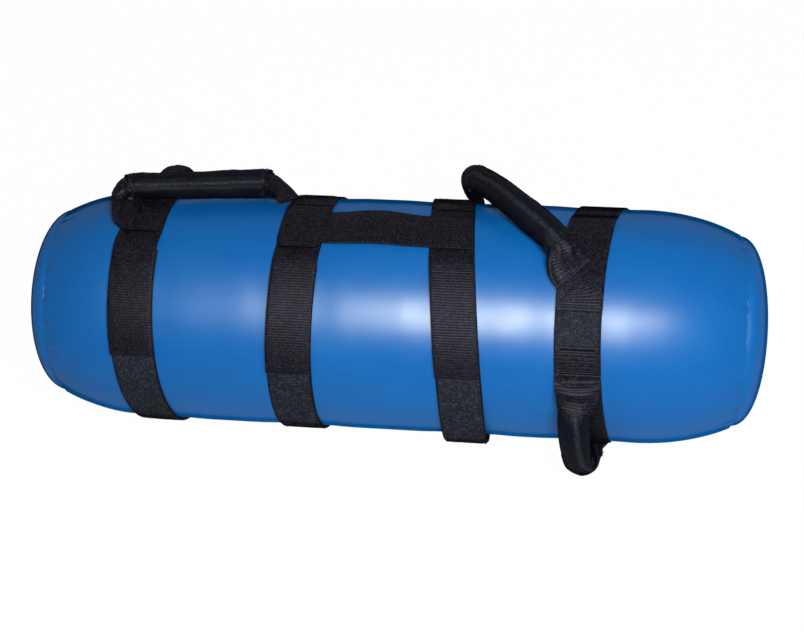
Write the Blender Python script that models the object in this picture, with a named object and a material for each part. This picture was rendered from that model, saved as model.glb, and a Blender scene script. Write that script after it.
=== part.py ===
"""A water-filled training bag: a welded fabric tube with domed ends, webbing straps and padded handles.

Metres, +Z up. X runs along the bag, the front is towards -Y, and the origin is on the floor under the
bag's middle. A place on the bag is given by x, an angle round the bag and a lift above its skin. The
angle is 0 at the front, 90 on top and -90 on the floor.
"""

import math
from dataclasses import dataclass

import bmesh
import bpy
from mathutils import Matrix, Vector

# Bag skin. Its steps are in degrees
SKIN_RADIUS = 0.135
SKIN_WALL = 0.0012
STRAIGHT_HALF = 0.243
SEAM_HALF = 0.3915
SEAM_RADIUS = 0.1114
SHOULDER_POWER = 3.47
SHOULDER_SHARES = (0.0, 0.4, 0.6, 0.78, 0.9)
DOME_DEPTH = 0.034
DOME_POWER = 2.36
DOME_STEPS = 5
RIGHT_END_CENTRE = 0.012
SKIRT_LENGTH = 0.012
FLAT_HALF_WIDTH = 0.032
FLAT_EDGE_STEP = 1.2
ANGLE_STEP = 9.0
LEAST_STEP = 0.8
SAG_HALF_LENGTH = 0.030
SAG_FADE = 0.025
FIT_GAP = 0.0003
WATER_GAP = 0.0010
WATER_RING_STEPS = 2

# Webbing and tapes
WEBBING_WIDTH = 0.050
WEBBING_THICKNESS = 0.0016
LOOP_TAPE_THICKNESS = 0.0016
HOOK_TAPE_THICKNESS = 0.0010
TAPE_INSET = 0.0015
SEWN_GAP = 0.0005
CORNER_RADIUS = 0.012
CORNER_SHARES = (0.0, 0.15, 0.5, 1.0)

# Overlap of each strap's two ends, in degrees round the bag
START_BEHIND_HINGE = 6.0
RAMP_GAP = 1.0
RAMP_LENGTH = 12.0
RAMP_SHARES = (1.0, 0.75, 0.5, 0.25, 0.0)
HOOK_INSET = 1.0

# Handles
HANDLE_WEBBING_WIDTH = 0.018
HANDLE_WEBBING_END_WIDTH = 0.026
HANDLE_WEBBING_THICKNESS = 0.004
FOAM_RADIUS = 0.0131
SLEEVE_RADIUS = 0.0145
SLEEVE_WALL = 0.0011
SLEEVE_LIP_RADIUS = 0.0115
SLEEVE_LIP_LENGTH = 0.005
HANDLE_SIDES = 10
GRIP_SPANS = 9
LEG_SPANS = 4
ROUTE_SAMPLES = 16

# Cross strap between straps 2 and 3
CROSS_STRAP_LOW = 84.5
CROSS_STRAP_HIGH = 106.0
CROSS_STRAP_BOW = 0.007
CROSS_STRAP_EDGE_LIFT = 0.004
CROSS_STRAP_SPANS = 8

# Where the left carry handle's right tab comes down off the cross strap, in degrees past its edge
TAB_STEP_GAP = 2.0
TAB_STEP_LENGTH = 5.0

# Filling valve in the left end
NECK_RADIUS = 0.0150
NECK_BORE = 0.0120
NECK_HEIGHT = 0.0090
FLANGE_RADIUS = 0.0280
FLANGE_THICKNESS = 0.0020
THREAD_CLEARANCE = 0.0004
CAP_WALL = 0.0030
CAP_TOP = 0.0022
CAP_RIB_HEIGHT = 0.0007
CAP_RIBS = 24
CAP_EDGE = 0.001
CAP_CENTRE = 0.002
GASKET_THICKNESS = 0.0015
ROUND_SIDES = 24

FABRIC_FLOOR = WEBBING_THICKNESS + FIT_GAP
AXIS_HEIGHT = FABRIC_FLOOR + math.sqrt(SKIN_RADIUS**2 - FLAT_HALF_WIDTH**2)
DOME_TOP = SEAM_HALF + DOME_DEPTH
FLANGE_DROP = DOME_DEPTH * (1 - (1 - (FLANGE_RADIUS / SEAM_RADIUS) ** DOME_POWER) ** (1 / DOME_POWER))
FLANGE_TOP = DOME_TOP - SKIN_WALL - FLANGE_DROP - FIT_GAP
FLAT_CORNER = math.degrees(math.asin(FLAT_HALF_WIDTH / SKIN_RADIUS))
FLAT_EDGE = FLAT_CORNER - FLAT_EDGE_STEP
SAG_CORNER = math.degrees(math.acos(AXIS_HEIGHT / SKIN_RADIUS))
BOTTOM = -90.0


@dataclass
class Strap:
    """A strap's place as a share of the bag's half length, its ring's lean, its free end and its slack."""

    place: float
    lean_front: float
    lean_top: float
    end: float
    hook_length: float
    loop_end: float
    peels: bool = True
    slack: float = 0.0
    slack_from: float = -70.0
    slack_to: float = 20.0

    @property
    def x(self):
        return self.place * SEAM_HALF

    @property
    def hinge(self):
        return self.end + self.hook_length

    @property
    def start(self):
        return self.hinge + START_BEHIND_HINGE


STRAPS = {
    1: Strap(-0.7034, -0.0023, -0.0067, end=25.0, hook_length=45.0, loop_end=-60.0),
    2: Strap(-0.2450, -0.0076, -0.0028, end=20.0, hook_length=45.0, loop_end=-60.0),
    3: Strap(0.2013, 0.0088, -0.0099, end=22.0, hook_length=45.0, loop_end=-60.0, slack=0.008),
    4: Strap(0.6148, -0.0198, -0.0236, end=55.0, hook_length=41.0, loop_end=40.0, peels=False),
}

# Colours: linear red, green and blue, then roughness
BLUE_SKIN = ((0.004, 0.095, 0.52), 0.32)
BLACK_WEBBING = ((0.018, 0.018, 0.020), 0.80)
BLACK_LOOP = ((0.014, 0.014, 0.016), 0.95)
BLACK_SLEEVE = ((0.016, 0.016, 0.018), 0.55)
GREY_FOAM = ((0.10, 0.10, 0.11), 0.90)
VALVE_BLACK = ((0.02, 0.02, 0.022), 0.40)
GASKET_RUBBER = ((0.03, 0.03, 0.03), 0.70)
WATER = ((0.35, 0.55, 0.60), 0.05)


def clear_scene():
    for obj in list(bpy.data.objects):
        bpy.data.objects.remove(obj, do_unlink=True)


def give_material(obj, finish):
    colour, roughness = finish
    material = bpy.data.materials.new(obj.name + "_finish")
    material.use_nodes = True
    shader = material.node_tree.nodes["Principled BSDF"]
    shader.inputs["Base Color"].default_value = (*colour, 1.0)
    shader.inputs["Roughness"].default_value = roughness
    shader.inputs["Metallic"].default_value = 0.0
    obj.data.materials.append(material)


def make_object(name, vertices, faces, finish, smooth_angle=40.0):
    """One closed solid from its points and faces, with every face turned outwards.

    Four-sided faces are split along their shorter diagonal, so that the layers over each other bend alike.
    """
    mesh = bpy.data.meshes.new(name)
    mesh.from_pydata([tuple(v) for v in vertices], [], faces)
    shape = bmesh.new()
    shape.from_mesh(mesh)
    bmesh.ops.triangulate(shape, faces=shape.faces, quad_method="SHORT_EDGE")
    bmesh.ops.recalc_face_normals(shape, faces=shape.faces)
    if shape.calc_volume(signed=True) < 0:
        bmesh.ops.reverse_faces(shape, faces=shape.faces)
    shape.to_mesh(mesh)
    shape.free()
    mesh.shade_smooth()
    mesh.set_sharp_from_angle(angle=math.radians(smooth_angle))
    obj = bpy.data.objects.new(name, mesh)
    bpy.context.scene.collection.objects.link(obj)
    give_material(obj, finish)
    return obj


def rings_solid(name, rings, finish, closed=False):
    """Joins rings of points into a solid, as a loop where closed and else with a cap at each end."""
    size = len(rings[0])
    vertices = [point for ring in rings for point in ring]
    faces = []
    joins = len(rings) if closed else len(rings) - 1
    for i in range(joins):
        here = i * size
        there = ((i + 1) % len(rings)) * size
        for k in range(size):
            after = (k + 1) % size
            faces.append((here + k, here + after, there + after, there + k))
    if not closed:
        faces.append(tuple(range(size)))
        faces.append(tuple(range(len(vertices) - size, len(vertices))))
    return make_object(name, vertices, faces, finish)


def sheet_solid(name, rows, finish):
    """A sheet from rows of (x, angle, low lift, high lift), with its under side, upper side and edges."""
    across = len(rows[0])
    points = [cell for row in rows for cell in row]
    low = [place(x, angle, bottom) for x, angle, bottom, top in points]
    high = [place(x, angle, top) for x, angle, bottom, top in points]
    lift = len(points)
    faces = []
    for i in range(len(rows) - 1):
        for k in range(across - 1):
            a = i * across + k
            b = a + across
            faces.append((a, a + 1, b + 1, b))
            faces.append((a + lift, b + lift, b + 1 + lift, a + 1 + lift))
    last = (len(rows) - 1) * across
    rim = [k for k in range(across)]
    rim += [i * across + across - 1 for i in range(1, len(rows))]
    rim += [last + k for k in range(across - 2, -1, -1)]
    rim += [i * across for i in range(len(rows) - 2, 0, -1)]
    for i, a in enumerate(rim):
        b = rim[(i + 1) % len(rim)]
        faces.append((a, b, b + lift, a + lift))
    return make_object(name, low + high, faces, finish)


def skin_radius(x):
    """The bag's outer radius: straight in the middle, drawn in towards each seam."""
    beyond = abs(x) - STRAIGHT_HALF
    if beyond <= 0:
        return SKIN_RADIUS
    share = beyond / (SEAM_HALF - STRAIGHT_HALF)
    return SEAM_RADIUS + (SKIN_RADIUS - SEAM_RADIUS) * (1 - share**SHOULDER_POWER)


def corner_of_ring(x, angle, lift):
    """A point at one of the ring's angles and a lift above the skin, flat where the bag stands.

    Between the two middle straps the skin sags to the floor, where its flat is narrower.
    """
    radius = skin_radius(x) + lift
    floor = FABRIC_FLOOR - lift
    if abs(x) <= SAG_HALF_LENGTH:
        floor -= FABRIC_FLOOR
        if abs(angle - BOTTOM) <= FLAT_CORNER:
            angle = BOTTOM + (angle - BOTTOM) * SAG_CORNER / FLAT_CORNER
    turn = math.radians(angle)
    z = AXIS_HEIGHT + radius * math.sin(turn)
    return Vector((x, -radius * math.cos(turn), max(z, floor)))


def ring_angles():
    """Angles once round the bag from its bottom, even all the way but for the corners of the flat."""
    even = [BOTTOM + ANGLE_STEP * i for i in range(round(360 / ANGLE_STEP))]
    free = [a for a in even if FLAT_CORNER + 1 < a - BOTTOM < 360 - FLAT_CORNER - 1]
    flat = [BOTTOM - FLAT_CORNER, BOTTOM - FLAT_EDGE, BOTTOM, BOTTOM + FLAT_EDGE, BOTTOM + FLAT_CORNER]
    return flat + free


RING_ANGLES = ring_angles()


def place(x, angle, lift):
    """The point at x, an angle and a lift, on the flat face between the ring's angles beside it."""
    ring = RING_ANGLES + [RING_ANGLES[0] + 360]
    angle = (angle - ring[0]) % 360 + ring[0]
    k = max(i for i, corner in enumerate(ring[:-1]) if corner <= angle + 1e-6)
    share = (angle - ring[k]) / (ring[k + 1] - ring[k])
    return corner_of_ring(x, ring[k], lift).lerp(corner_of_ring(x, ring[k + 1], lift), share)


def angles_between(first, last):
    """First, the ring's angles that lie between, and last. An angle may run past a full turn."""
    low, high = min(first, last), max(first, last)
    between = {a + 360 * turn for a in RING_ANGLES for turn in (-2, -1, 0, 1)}
    inside = sorted(a for a in between if low + LEAST_STEP < a < high - LEAST_STEP)
    if first > last:
        inside.reverse()
    return [first] + inside + [last]


def ring_at(x, lift, every=1):
    return [corner_of_ring(x, angle, lift) for angle in RING_ANGLES[::every]]


def strap_x(strap, angle):
    turn = math.radians(angle)
    return strap.x + strap.lean_front * math.cos(turn) + strap.lean_top * math.sin(turn)


def ease(share):
    return (1 - math.cos(math.pi * min(max(share, 0.0), 1.0))) / 2


def slack_at(strap, angle):
    """How far the strap hangs off the skin at this angle."""
    if strap.slack == 0 or not strap.slack_from < angle < strap.slack_to:
        return 0.0
    share = (angle - strap.slack_from) / (strap.slack_to - strap.slack_from)
    return strap.slack * math.sin(math.pi * share) ** 2


def first_lap(strap, angle):
    """Lift of the first lap's under side."""
    return FIT_GAP + slack_at(strap, angle)


def loop_low(strap, angle):
    return first_lap(strap, angle) + WEBBING_THICKNESS + FIT_GAP


def hook_low(strap, angle):
    return loop_low(strap, angle) + LOOP_TAPE_THICKNESS + FIT_GAP


def free_end_low(strap, angle):
    return hook_low(strap, angle) + HOOK_TAPE_THICKNESS + FIT_GAP


def outer_lap_low(strap, angle):
    """Lift of the webbing's under side where it climbs over its own start."""
    ramp_top = strap.start + RAMP_GAP
    share = (ramp_top + RAMP_LENGTH - angle) / RAMP_LENGTH
    low = FIT_GAP
    return low + (free_end_low(strap, angle) - low) * ease(share)


def webbing_top(strap, angle):
    """Lift of the strap's outermost webbing."""
    if strap.end <= angle <= strap.start + RAMP_GAP + RAMP_LENGTH:
        return outer_lap_low(strap, angle) + WEBBING_THICKNESS
    return first_lap(strap, angle) + WEBBING_THICKNESS


def rounded_half_width(half_width, from_end):
    """Half the width of a strip with rounded corners, at a distance from its end."""
    if from_end >= CORNER_RADIUS:
        return half_width
    dip = CORNER_RADIUS - from_end
    return half_width - CORNER_RADIUS + math.sqrt(CORNER_RADIUS**2 - dip**2)


def strap_row(strap, angle, low, thickness, width):
    middle = strap_x(strap, angle)
    return [
        (middle - width / 2, angle, low, low + thickness),
        (middle + width / 2, angle, low, low + thickness),
    ]


def strap_strip(name, strap, span, low, size, finish):
    """A strip along the strap over a span of angles. Its size is its thickness and its width."""
    rows = [strap_row(strap, angle, low(strap, angle), *size) for angle in angles_between(*span)]
    return sheet_solid(name, rows, finish)


def make_strap(number, strap):
    """The webbing from its sewn start, once round the bag and up over that start, with its two tapes."""
    label = f"strap_{number}_"
    tape_width = WEBBING_WIDTH - 2 * TAPE_INSET
    ramp_top = strap.start + RAMP_GAP
    webbing_end = strap.hinge if strap.peels else strap.end
    ramp = [ramp_top + RAMP_LENGTH * share for share in RAMP_SHARES]
    rows = []
    for angle in angles_between(strap.start, ramp[0] - 360)[:-1]:
        rows.append(strap_row(strap, angle, first_lap(strap, angle), WEBBING_THICKNESS, WEBBING_WIDTH))
    for angle in ramp + angles_between(ramp_top, webbing_end)[1:]:
        rows.append(strap_row(strap, angle, outer_lap_low(strap, angle), WEBBING_THICKNESS, WEBBING_WIDTH))
    sheet_solid(label + "webbing", rows, BLACK_WEBBING)
    loop_start = strap.hinge + 0.5 * START_BEHIND_HINGE
    loop_span = (loop_start, strap.loop_end)
    loop_size = (LOOP_TAPE_THICKNESS, tape_width)
    strap_strip(label + "loop_tape", strap, loop_span, loop_low, loop_size, BLACK_LOOP)
    hook_span = (strap.hinge - HOOK_INSET, strap.end + HOOK_INSET)
    hook_size = (HOOK_TAPE_THICKNESS, tape_width)
    hook = strap_strip(label + "hook_tape", strap, hook_span, hook_low, hook_size, BLACK_LOOP)
    if not strap.peels:
        return
    gap_angle = math.degrees(FIT_GAP / SKIN_RADIUS)
    free_span = (strap.hinge - gap_angle, strap.end)
    free_size = (WEBBING_THICKNESS, WEBBING_WIDTH)
    free_end = strap_strip(label + "free_end", strap, free_span, free_end_low, free_size, BLACK_WEBBING)
    crease_lift = free_end_low(strap, strap.hinge) + WEBBING_THICKNESS
    crease = place(strap_x(strap, strap.hinge), strap.hinge, crease_lift)
    hang_on_hinge(label + "peel_hinge", crease, Vector((-1, 0, 0)), [free_end, hook])


def hang_on_hinge(name, point, direction, pieces):
    """An empty on the joint's axis, its own Z along the axis, with the moving pieces as its children."""
    hinge = bpy.data.objects.new(name, None)
    bpy.context.scene.collection.objects.link(hinge)
    turn = direction.to_track_quat("Z", "Y").to_matrix().to_4x4()
    hinge.matrix_world = Matrix.Translation(point) @ turn
    bpy.context.view_layer.update()
    for piece in pieces:
        piece.parent = hinge
        piece.matrix_parent_inverse = hinge.matrix_world.inverted()
    return hinge


def profile_ring(x, radius, every=1):
    return [
        Vector((x, -radius * math.cos(math.radians(a)), AXIS_HEIGHT + radius * math.sin(math.radians(a))))
        for a in RING_ANGLES[::every]
    ]


def shoulder_stations(shares):
    """Places of the bag's rings: straight to the shoulder, then at these shares of the way to each seam."""
    half = [SAG_HALF_LENGTH, SAG_HALF_LENGTH + SAG_FADE]
    half += [STRAIGHT_HALF + (SEAM_HALF - STRAIGHT_HALF) * share for share in shares]
    return [-x for x in reversed(half)] + half


def make_side_panel():
    stations = shoulder_stations(SHOULDER_SHARES + (1.0,))
    outer = [ring_at(x, 0.0) for x in stations]
    inner = [ring_at(x, -SKIN_WALL) for x in reversed(stations)]
    rings_solid("shell_side_panel", outer + inner, BLUE_SKIN, closed=True)


def dome_profile(depth, radius, smallest, steps):
    """Distance past the seam and radius, from the rim to the smallest radius, on a rounded-square curve."""
    points = []
    for i in range(steps + 1):
        turn = math.pi / 2 * i / steps
        across = radius * math.cos(turn) ** (2 / DOME_POWER)
        past = depth * math.sin(turn) ** (2 / DOME_POWER)
        if across <= smallest * 1.2:
            break
        points.append((past, across))
    share = (smallest / radius) ** DOME_POWER
    points.append((depth * (1 - share) ** (1 / DOME_POWER), smallest))
    return points


def make_end_disc(name, side, smallest, closed):
    """A domed end whose skirt runs inside the side panel. The left one has a hole for the valve."""
    inset = SKIN_WALL + FIT_GAP
    rim = SEAM_RADIUS - inset
    outer = [(-SKIRT_LENGTH, skin_radius(SEAM_HALF - SKIRT_LENGTH) - inset)]
    outer += dome_profile(DOME_DEPTH, rim, smallest, DOME_STEPS)
    inner = [(-SKIRT_LENGTH, skin_radius(SEAM_HALF - SKIRT_LENGTH) - inset - SKIN_WALL)]
    inner += dome_profile(DOME_DEPTH - SKIN_WALL, rim - SKIN_WALL, smallest, DOME_STEPS)
    profile = list(reversed(outer)) + inner
    rings = [profile_ring(side * (SEAM_HALF + past), radius) for past, radius in profile]
    rings_solid(name, rings, BLUE_SKIN, closed=closed)


def make_water():
    """The water, a plainer shape that stays a gap inside the skin and stops under the valve's flange."""
    lining = SKIN_WALL + WATER_GAP
    side_rings = [ring_at(x, -lining, WATER_RING_STEPS) for x in shoulder_stations(SHOULDER_SHARES)]
    behind_skirt = SKIRT_LENGTH + FIT_GAP
    rim = SEAM_RADIUS - 2 * lining
    end = [(-behind_skirt, skin_radius(SEAM_HALF - behind_skirt) - 2 * lining)]
    end += dome_profile(DOME_DEPTH - lining, rim, RIGHT_END_CENTRE, DOME_STEPS)
    flange_face = FLANGE_TOP - FLANGE_THICKNESS - FIT_GAP
    right = [profile_ring(SEAM_HALF + past, radius, WATER_RING_STEPS) for past, radius in end]
    left = []
    for past, radius in end:
        left.append(profile_ring(-min(SEAM_HALF + past, flange_face), radius, WATER_RING_STEPS))
    flat_from = next(i for i, (past, radius) in enumerate(end) if SEAM_HALF + past >= flange_face)
    left = left[: flat_from + 1]
    left.reverse()
    rings_solid("water_fill", left + side_rings + right, WATER)


def make_shell():
    make_side_panel()
    make_end_disc("shell_end_right", 1, RIGHT_END_CENTRE, closed=False)
    make_end_disc("shell_end_left", -1, NECK_RADIUS + FIT_GAP, closed=True)
    make_water()


def revolve_on_valve(name, profile, finish, sides=ROUND_SIDES, ribbed=()):
    """Turns a profile of (radius, outward distance) about the valve's axis, with ribs on some points."""
    rings = []
    for i, (radius, outward) in enumerate(profile):
        ring = []
        for k in range(sides):
            turn = 2 * math.pi * k / sides
            grown = radius + (CAP_RIB_HEIGHT if i in ribbed and k % 2 else 0.0)
            ring.append(Vector((-outward, grown * math.cos(turn), AXIS_HEIGHT + grown * math.sin(turn))))
        rings.append(ring)
    return rings_solid(name, rings, finish, closed=True)


def make_valve():
    """A flange under the skin, a neck that stands through it, a gasket and a ribbed screw cap."""
    flange_bottom = FLANGE_TOP - FLANGE_THICKNESS
    neck_top = DOME_TOP + NECK_HEIGHT
    body = [
        (NECK_BORE, flange_bottom),
        (FLANGE_RADIUS, flange_bottom),
        (FLANGE_RADIUS, FLANGE_TOP),
        (NECK_RADIUS, FLANGE_TOP),
        (NECK_RADIUS, neck_top),
        (NECK_BORE, neck_top),
    ]
    revolve_on_valve("valve_body", body, VALVE_BLACK)
    gasket_bottom = neck_top + FIT_GAP
    gasket_top = gasket_bottom + GASKET_THICKNESS
    gasket = [
        (NECK_BORE, gasket_bottom),
        (NECK_RADIUS - FIT_GAP, gasket_bottom),
        (NECK_RADIUS - FIT_GAP, gasket_top),
        (NECK_BORE, gasket_top),
    ]
    gasket_ring = revolve_on_valve("valve_gasket", gasket, GASKET_RUBBER)
    ceiling = gasket_top + FIT_GAP
    cap_inside = NECK_RADIUS + THREAD_CLEARANCE
    cap_outside = cap_inside + CAP_WALL
    skirt_end = DOME_TOP + FIT_GAP + SKIN_WALL / 2
    roof = ceiling + CAP_TOP
    cap_profile = [
        (CAP_CENTRE, ceiling),
        (cap_inside, ceiling),
        (cap_inside, skirt_end),
        (cap_outside, skirt_end),
        (cap_outside, roof - CAP_EDGE),
        (cap_outside - CAP_EDGE - CAP_RIB_HEIGHT, roof),
        (CAP_CENTRE, roof),
    ]
    cap = revolve_on_valve("valve_cap", cap_profile, VALVE_BLACK, sides=2 * CAP_RIBS, ribbed=(3, 4))
    hang_on_hinge("valve_cap_axis", Vector((-roof, 0, AXIS_HEIGHT)), Vector((-1, 0, 0)), [cap, gasket_ring])


def smooth_route(controls):
    """Points on a smooth curve through the control points."""
    points = [controls[0] * 2 - controls[1]] + controls + [controls[-1] * 2 - controls[-2]]
    route = []
    for i in range(1, len(points) - 2):
        a, b, c, d = points[i - 1 : i + 3]
        for k in range(ROUTE_SAMPLES):
            t = k / ROUTE_SAMPLES
            curve = (2 * a - 5 * b + 4 * c - d) * t**2 + (3 * b - a - 3 * c + d) * t**3
            route.append((2 * b + (c - a) * t + curve) / 2)
    route.append(controls[-1])
    return route


def along_route(route, distances):
    """Points at the given distances along a route."""
    lengths = [0.0]
    for a, b in zip(route, route[1:]):
        lengths.append(lengths[-1] + (b - a).length)
    found = []
    for distance in distances:
        k = 0
        while k < len(route) - 2 and lengths[k + 1] < distance:
            k += 1
        share = (distance - lengths[k]) / (lengths[k + 1] - lengths[k])
        found.append(route[k].lerp(route[k + 1], min(max(share, 0.0), 1.0)))
    return found


def route_length(route):
    return sum((b - a).length for a, b in zip(route, route[1:]))


def turn_between(tangent, up, wanted):
    """Angle about the tangent from up to the wanted direction. Flat webbing is alike after half a turn."""
    wanted = wanted - tangent * wanted.dot(tangent)
    angle = math.atan2(tangent.dot(up.cross(wanted)), up.dot(wanted))
    return (angle + math.pi / 2) % math.pi - math.pi / 2


def carried_frames(points, first_up, last_up):
    """Side and up directions at each point, carried along the route and evenly twisted to meet its end."""
    tangents = []
    lengths = [0.0]
    for i in range(len(points)):
        before = points[max(i - 1, 0)]
        after = points[min(i + 1, len(points) - 1)]
        tangents.append((after - before).normalized())
        if i:
            lengths.append(lengths[-1] + (points[i] - before).length)
    up = (first_up - tangents[0] * first_up.dot(tangents[0])).normalized()
    ups = [up]
    for before, tangent in zip(tangents, tangents[1:]):
        up = before.rotation_difference(tangent) @ up
        up = (up - tangent * up.dot(tangent)).normalized()
        ups.append(up)
    twist = turn_between(tangents[-1], ups[-1], last_up)
    frames = []
    for tangent, up, length in zip(tangents, ups, lengths):
        up = Matrix.Rotation(twist * length / lengths[-1], 3, tangent) @ up
        frames.append((tangent.cross(up).normalized(), up))
    return frames


def flat_section(half_width, half_height, sides):
    """Points round a rectangle, half of them on its upper side, to match the round section around it."""
    last = sides // 2 - 1
    upper = [(half_width * (1 - 2 * i / last), half_height) for i in range(last + 1)]
    return upper + [(-a, -b) for a, b in upper]


def round_section(radius, sides):
    turns = [2 * math.pi * (k + 0.5) / sides for k in range(sides)]
    return [(radius * math.cos(turn), radius * math.sin(turn)) for turn in turns]


def section_ring(point, frame, section):
    side, up = frame
    return [point + side * a + up * b for a, b in section]


def outward(x, angle):
    return place(x, angle, FIT_GAP) - place(x, angle, 0.0)


def make_handle(label, controls, leg_start, leg_end, stands_up=False):
    """Folded webbing from tab to tab, with foam and a sewn sleeve round its middle, on a swing hinge."""
    route = smooth_route([place(*c) for c in controls])
    total = route_length(route)
    grip_start = leg_start + SLEEVE_LIP_LENGTH
    grip_end = total - leg_end - SLEEVE_LIP_LENGTH
    distances = [leg_start * i / LEG_SPANS for i in range(LEG_SPANS + 1)]
    distances += [grip_start + (grip_end - grip_start) * i / GRIP_SPANS for i in range(GRIP_SPANS + 1)]
    distances += [total - leg_end + leg_end * i / LEG_SPANS for i in range(LEG_SPANS + 1)]
    points = along_route(route, distances)
    first_up = Vector((-1, 0, 0)) if stands_up else outward(*controls[0][:2])
    frames = carried_frames(points, first_up, outward(*controls[-1][:2]))
    stations = list(zip(points, frames))
    sleeve_stations = stations[LEG_SPANS : -LEG_SPANS]
    foam_stations = sleeve_stations[1:-1]
    half_width = HANDLE_WEBBING_WIDTH / 2
    half_height = HANDLE_WEBBING_THICKNESS / 2
    spread = (HANDLE_WEBBING_END_WIDTH - HANDLE_WEBBING_WIDTH) / 2
    flats = []
    for distance, (point, frame) in zip(distances, stations):
        opened = max(1 - distance / leg_start, 1 - (total - distance) / leg_end)
        flat = flat_section(half_width + spread * ease(opened), half_height, HANDLE_SIDES)
        flats.append(section_ring(point, frame, flat))
    webbing = rings_solid(label + "_webbing", flats, BLACK_WEBBING)
    slot = flat_section(half_width + 2 * FIT_GAP, half_height + 2 * FIT_GAP, HANDLE_SIDES)
    outer = [section_ring(p, f, round_section(FOAM_RADIUS, HANDLE_SIDES)) for p, f in foam_stations]
    bore = [section_ring(p, f, slot) for p, f in reversed(foam_stations)]
    foam = rings_solid(label + "_foam", outer + bore, GREY_FOAM, closed=True)
    last = len(sleeve_stations) - 1
    outside = []
    inside = []
    for i, (point, frame) in enumerate(sleeve_stations):
        at_lip = i in (0, last)
        outer_size = SLEEVE_LIP_RADIUS if at_lip else SLEEVE_RADIUS
        outside.append(section_ring(point, frame, round_section(outer_size, HANDLE_SIDES)))
        inside.append(section_ring(point, frame, round_section(outer_size - SLEEVE_WALL, HANDLE_SIDES)))
    sleeve = rings_solid(label + "_sleeve", outside + inside[::-1], BLACK_SLEEVE, closed=True)
    axis = (route[-1] - route[0]).normalized()
    hang_on_hinge(label + "_swing_hinge", route[0], axis, [webbing, foam, sleeve])
    print(f"{label}: webbing {total * 1000:.0f} mm, grip {(grip_end - grip_start) * 1000:.0f} mm")


def make_tab(name, strap, first, last, low):
    """A webbing tab along a strap, with rounded corners at both ends."""
    corner = math.degrees(CORNER_RADIUS / SKIN_RADIUS)
    if last < first:
        corner = -corner
    near = [first + corner * share for share in CORNER_SHARES]
    far = [last - corner * share for share in reversed(CORNER_SHARES)]
    angles = near + angles_between(near[-1], far[0])[1:-1] + far
    rows = []
    for angle in angles:
        from_end = math.radians(min(abs(angle - first), abs(last - angle))) * SKIN_RADIUS
        half = rounded_half_width(WEBBING_WIDTH / 2, from_end + TAPE_INSET)
        bottom = low(angle)
        rows.append(strap_row(strap, angle, bottom, WEBBING_THICKNESS, 2 * half))
    return sheet_solid(name, rows, BLACK_WEBBING)


def sewn_on(strap):
    return lambda angle: webbing_top(strap, angle) + SEWN_GAP


def make_cross_strap():
    """Webbing from strap 2 to strap 3, which bows off the bag between them, its front edge lifted."""
    left, right = STRAPS[2], STRAPS[3]
    angles = angles_between(CROSS_STRAP_LOW, CROSS_STRAP_HIGH)
    rows = []
    for angle in angles:
        left_edge = strap_x(left, angle) - WEBBING_WIDTH / 2 + TAPE_INSET
        left_seam = strap_x(left, angle) + WEBBING_WIDTH / 2 + SEWN_GAP
        right_seam = strap_x(right, angle) - WEBBING_WIDTH / 2 - SEWN_GAP
        right_edge = strap_x(right, angle) + WEBBING_WIDTH / 2 - TAPE_INSET
        height = (angle - CROSS_STRAP_LOW) / (CROSS_STRAP_HIGH - CROSS_STRAP_LOW)
        base_left = webbing_top(left, angle) + SEWN_GAP
        base_right = webbing_top(right, angle) + SEWN_GAP
        row = [(left_edge, angle, base_left, base_left + WEBBING_THICKNESS)]
        for i in range(CROSS_STRAP_SPANS + 1):
            share = i / CROSS_STRAP_SPANS
            x = left_seam + (right_seam - left_seam) * share
            bow = CROSS_STRAP_BOW + CROSS_STRAP_EDGE_LIFT * (1 - height)
            low = base_left + (base_right - base_left) * share + bow * math.sin(math.pi * share) ** 2
            row.append((x, angle, low, low + WEBBING_THICKNESS))
        row.append((right_edge, angle, base_right, base_right + WEBBING_THICKNESS))
        rows.append(row)
    sheet_solid("cross_strap", rows, BLACK_WEBBING)


def over_cross_strap(angle):
    """Under side of the left carry handle's right tab, which passes over the cross strap's end."""
    plain = webbing_top(STRAPS[2], angle) + SEWN_GAP
    covered = plain + WEBBING_THICKNESS + SEWN_GAP
    clear_from = CROSS_STRAP_HIGH + TAB_STEP_GAP
    return covered + (plain - covered) * ease((angle - clear_from) / TAB_STEP_LENGTH)


# The routes of the two carry handles' webbing: share of the way from one strap to the next, angle and lift
LEFT_CARRY_ROUTE = [
    (-0.1428, 99.6, 0.0064),
    (-0.2040, 99.8, 0.0066),
    (-0.2542, 100.6, 0.0084),
    (-0.2798, 102.6, 0.0124),
    (-0.2765, 105.2, 0.0168),
    (-0.2431, 107.9, 0.0196),
    (-0.1818, 110.0, 0.0202),
    (-0.0536, 112.0, 0.0200),
    (0.1414, 115.0, 0.0198),
    (0.3922, 120.5, 0.0198),
    (0.5872, 125.0, 0.0200),
    (0.6986, 126.0, 0.0196),
    (0.7655, 125.3, 0.0158),
    (0.8268, 123.5, 0.0098),
    (0.8825, 122.0, 0.0066),
    (0.9438, 121.0, 0.0064),
]

RIGHT_CARRY_ROUTE = [
    (0.0691, 133.5, 0.0052),
    (0.0580, 133.8, 0.0124),
    (0.0457, 134.0, 0.0196),
    (0.0457, 133.5, 0.0252),
    (0.0722, 131.5, 0.0290),
    (0.1247, 127.7, 0.0292),
    (0.2019, 121.8, 0.0268),
    (0.2853, 114.8, 0.0246),
    (0.3780, 106.8, 0.0228),
    (0.4805, 98.7, 0.0222),
    (0.5757, 91.2, 0.0232),
    (0.6467, 85.8, 0.0246),
    (0.7085, 81.0, 0.0232),
    (0.7610, 77.0, 0.0182),
    (0.8042, 73.7, 0.0132),
    (0.8413, 70.9, 0.0113),
]

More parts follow.
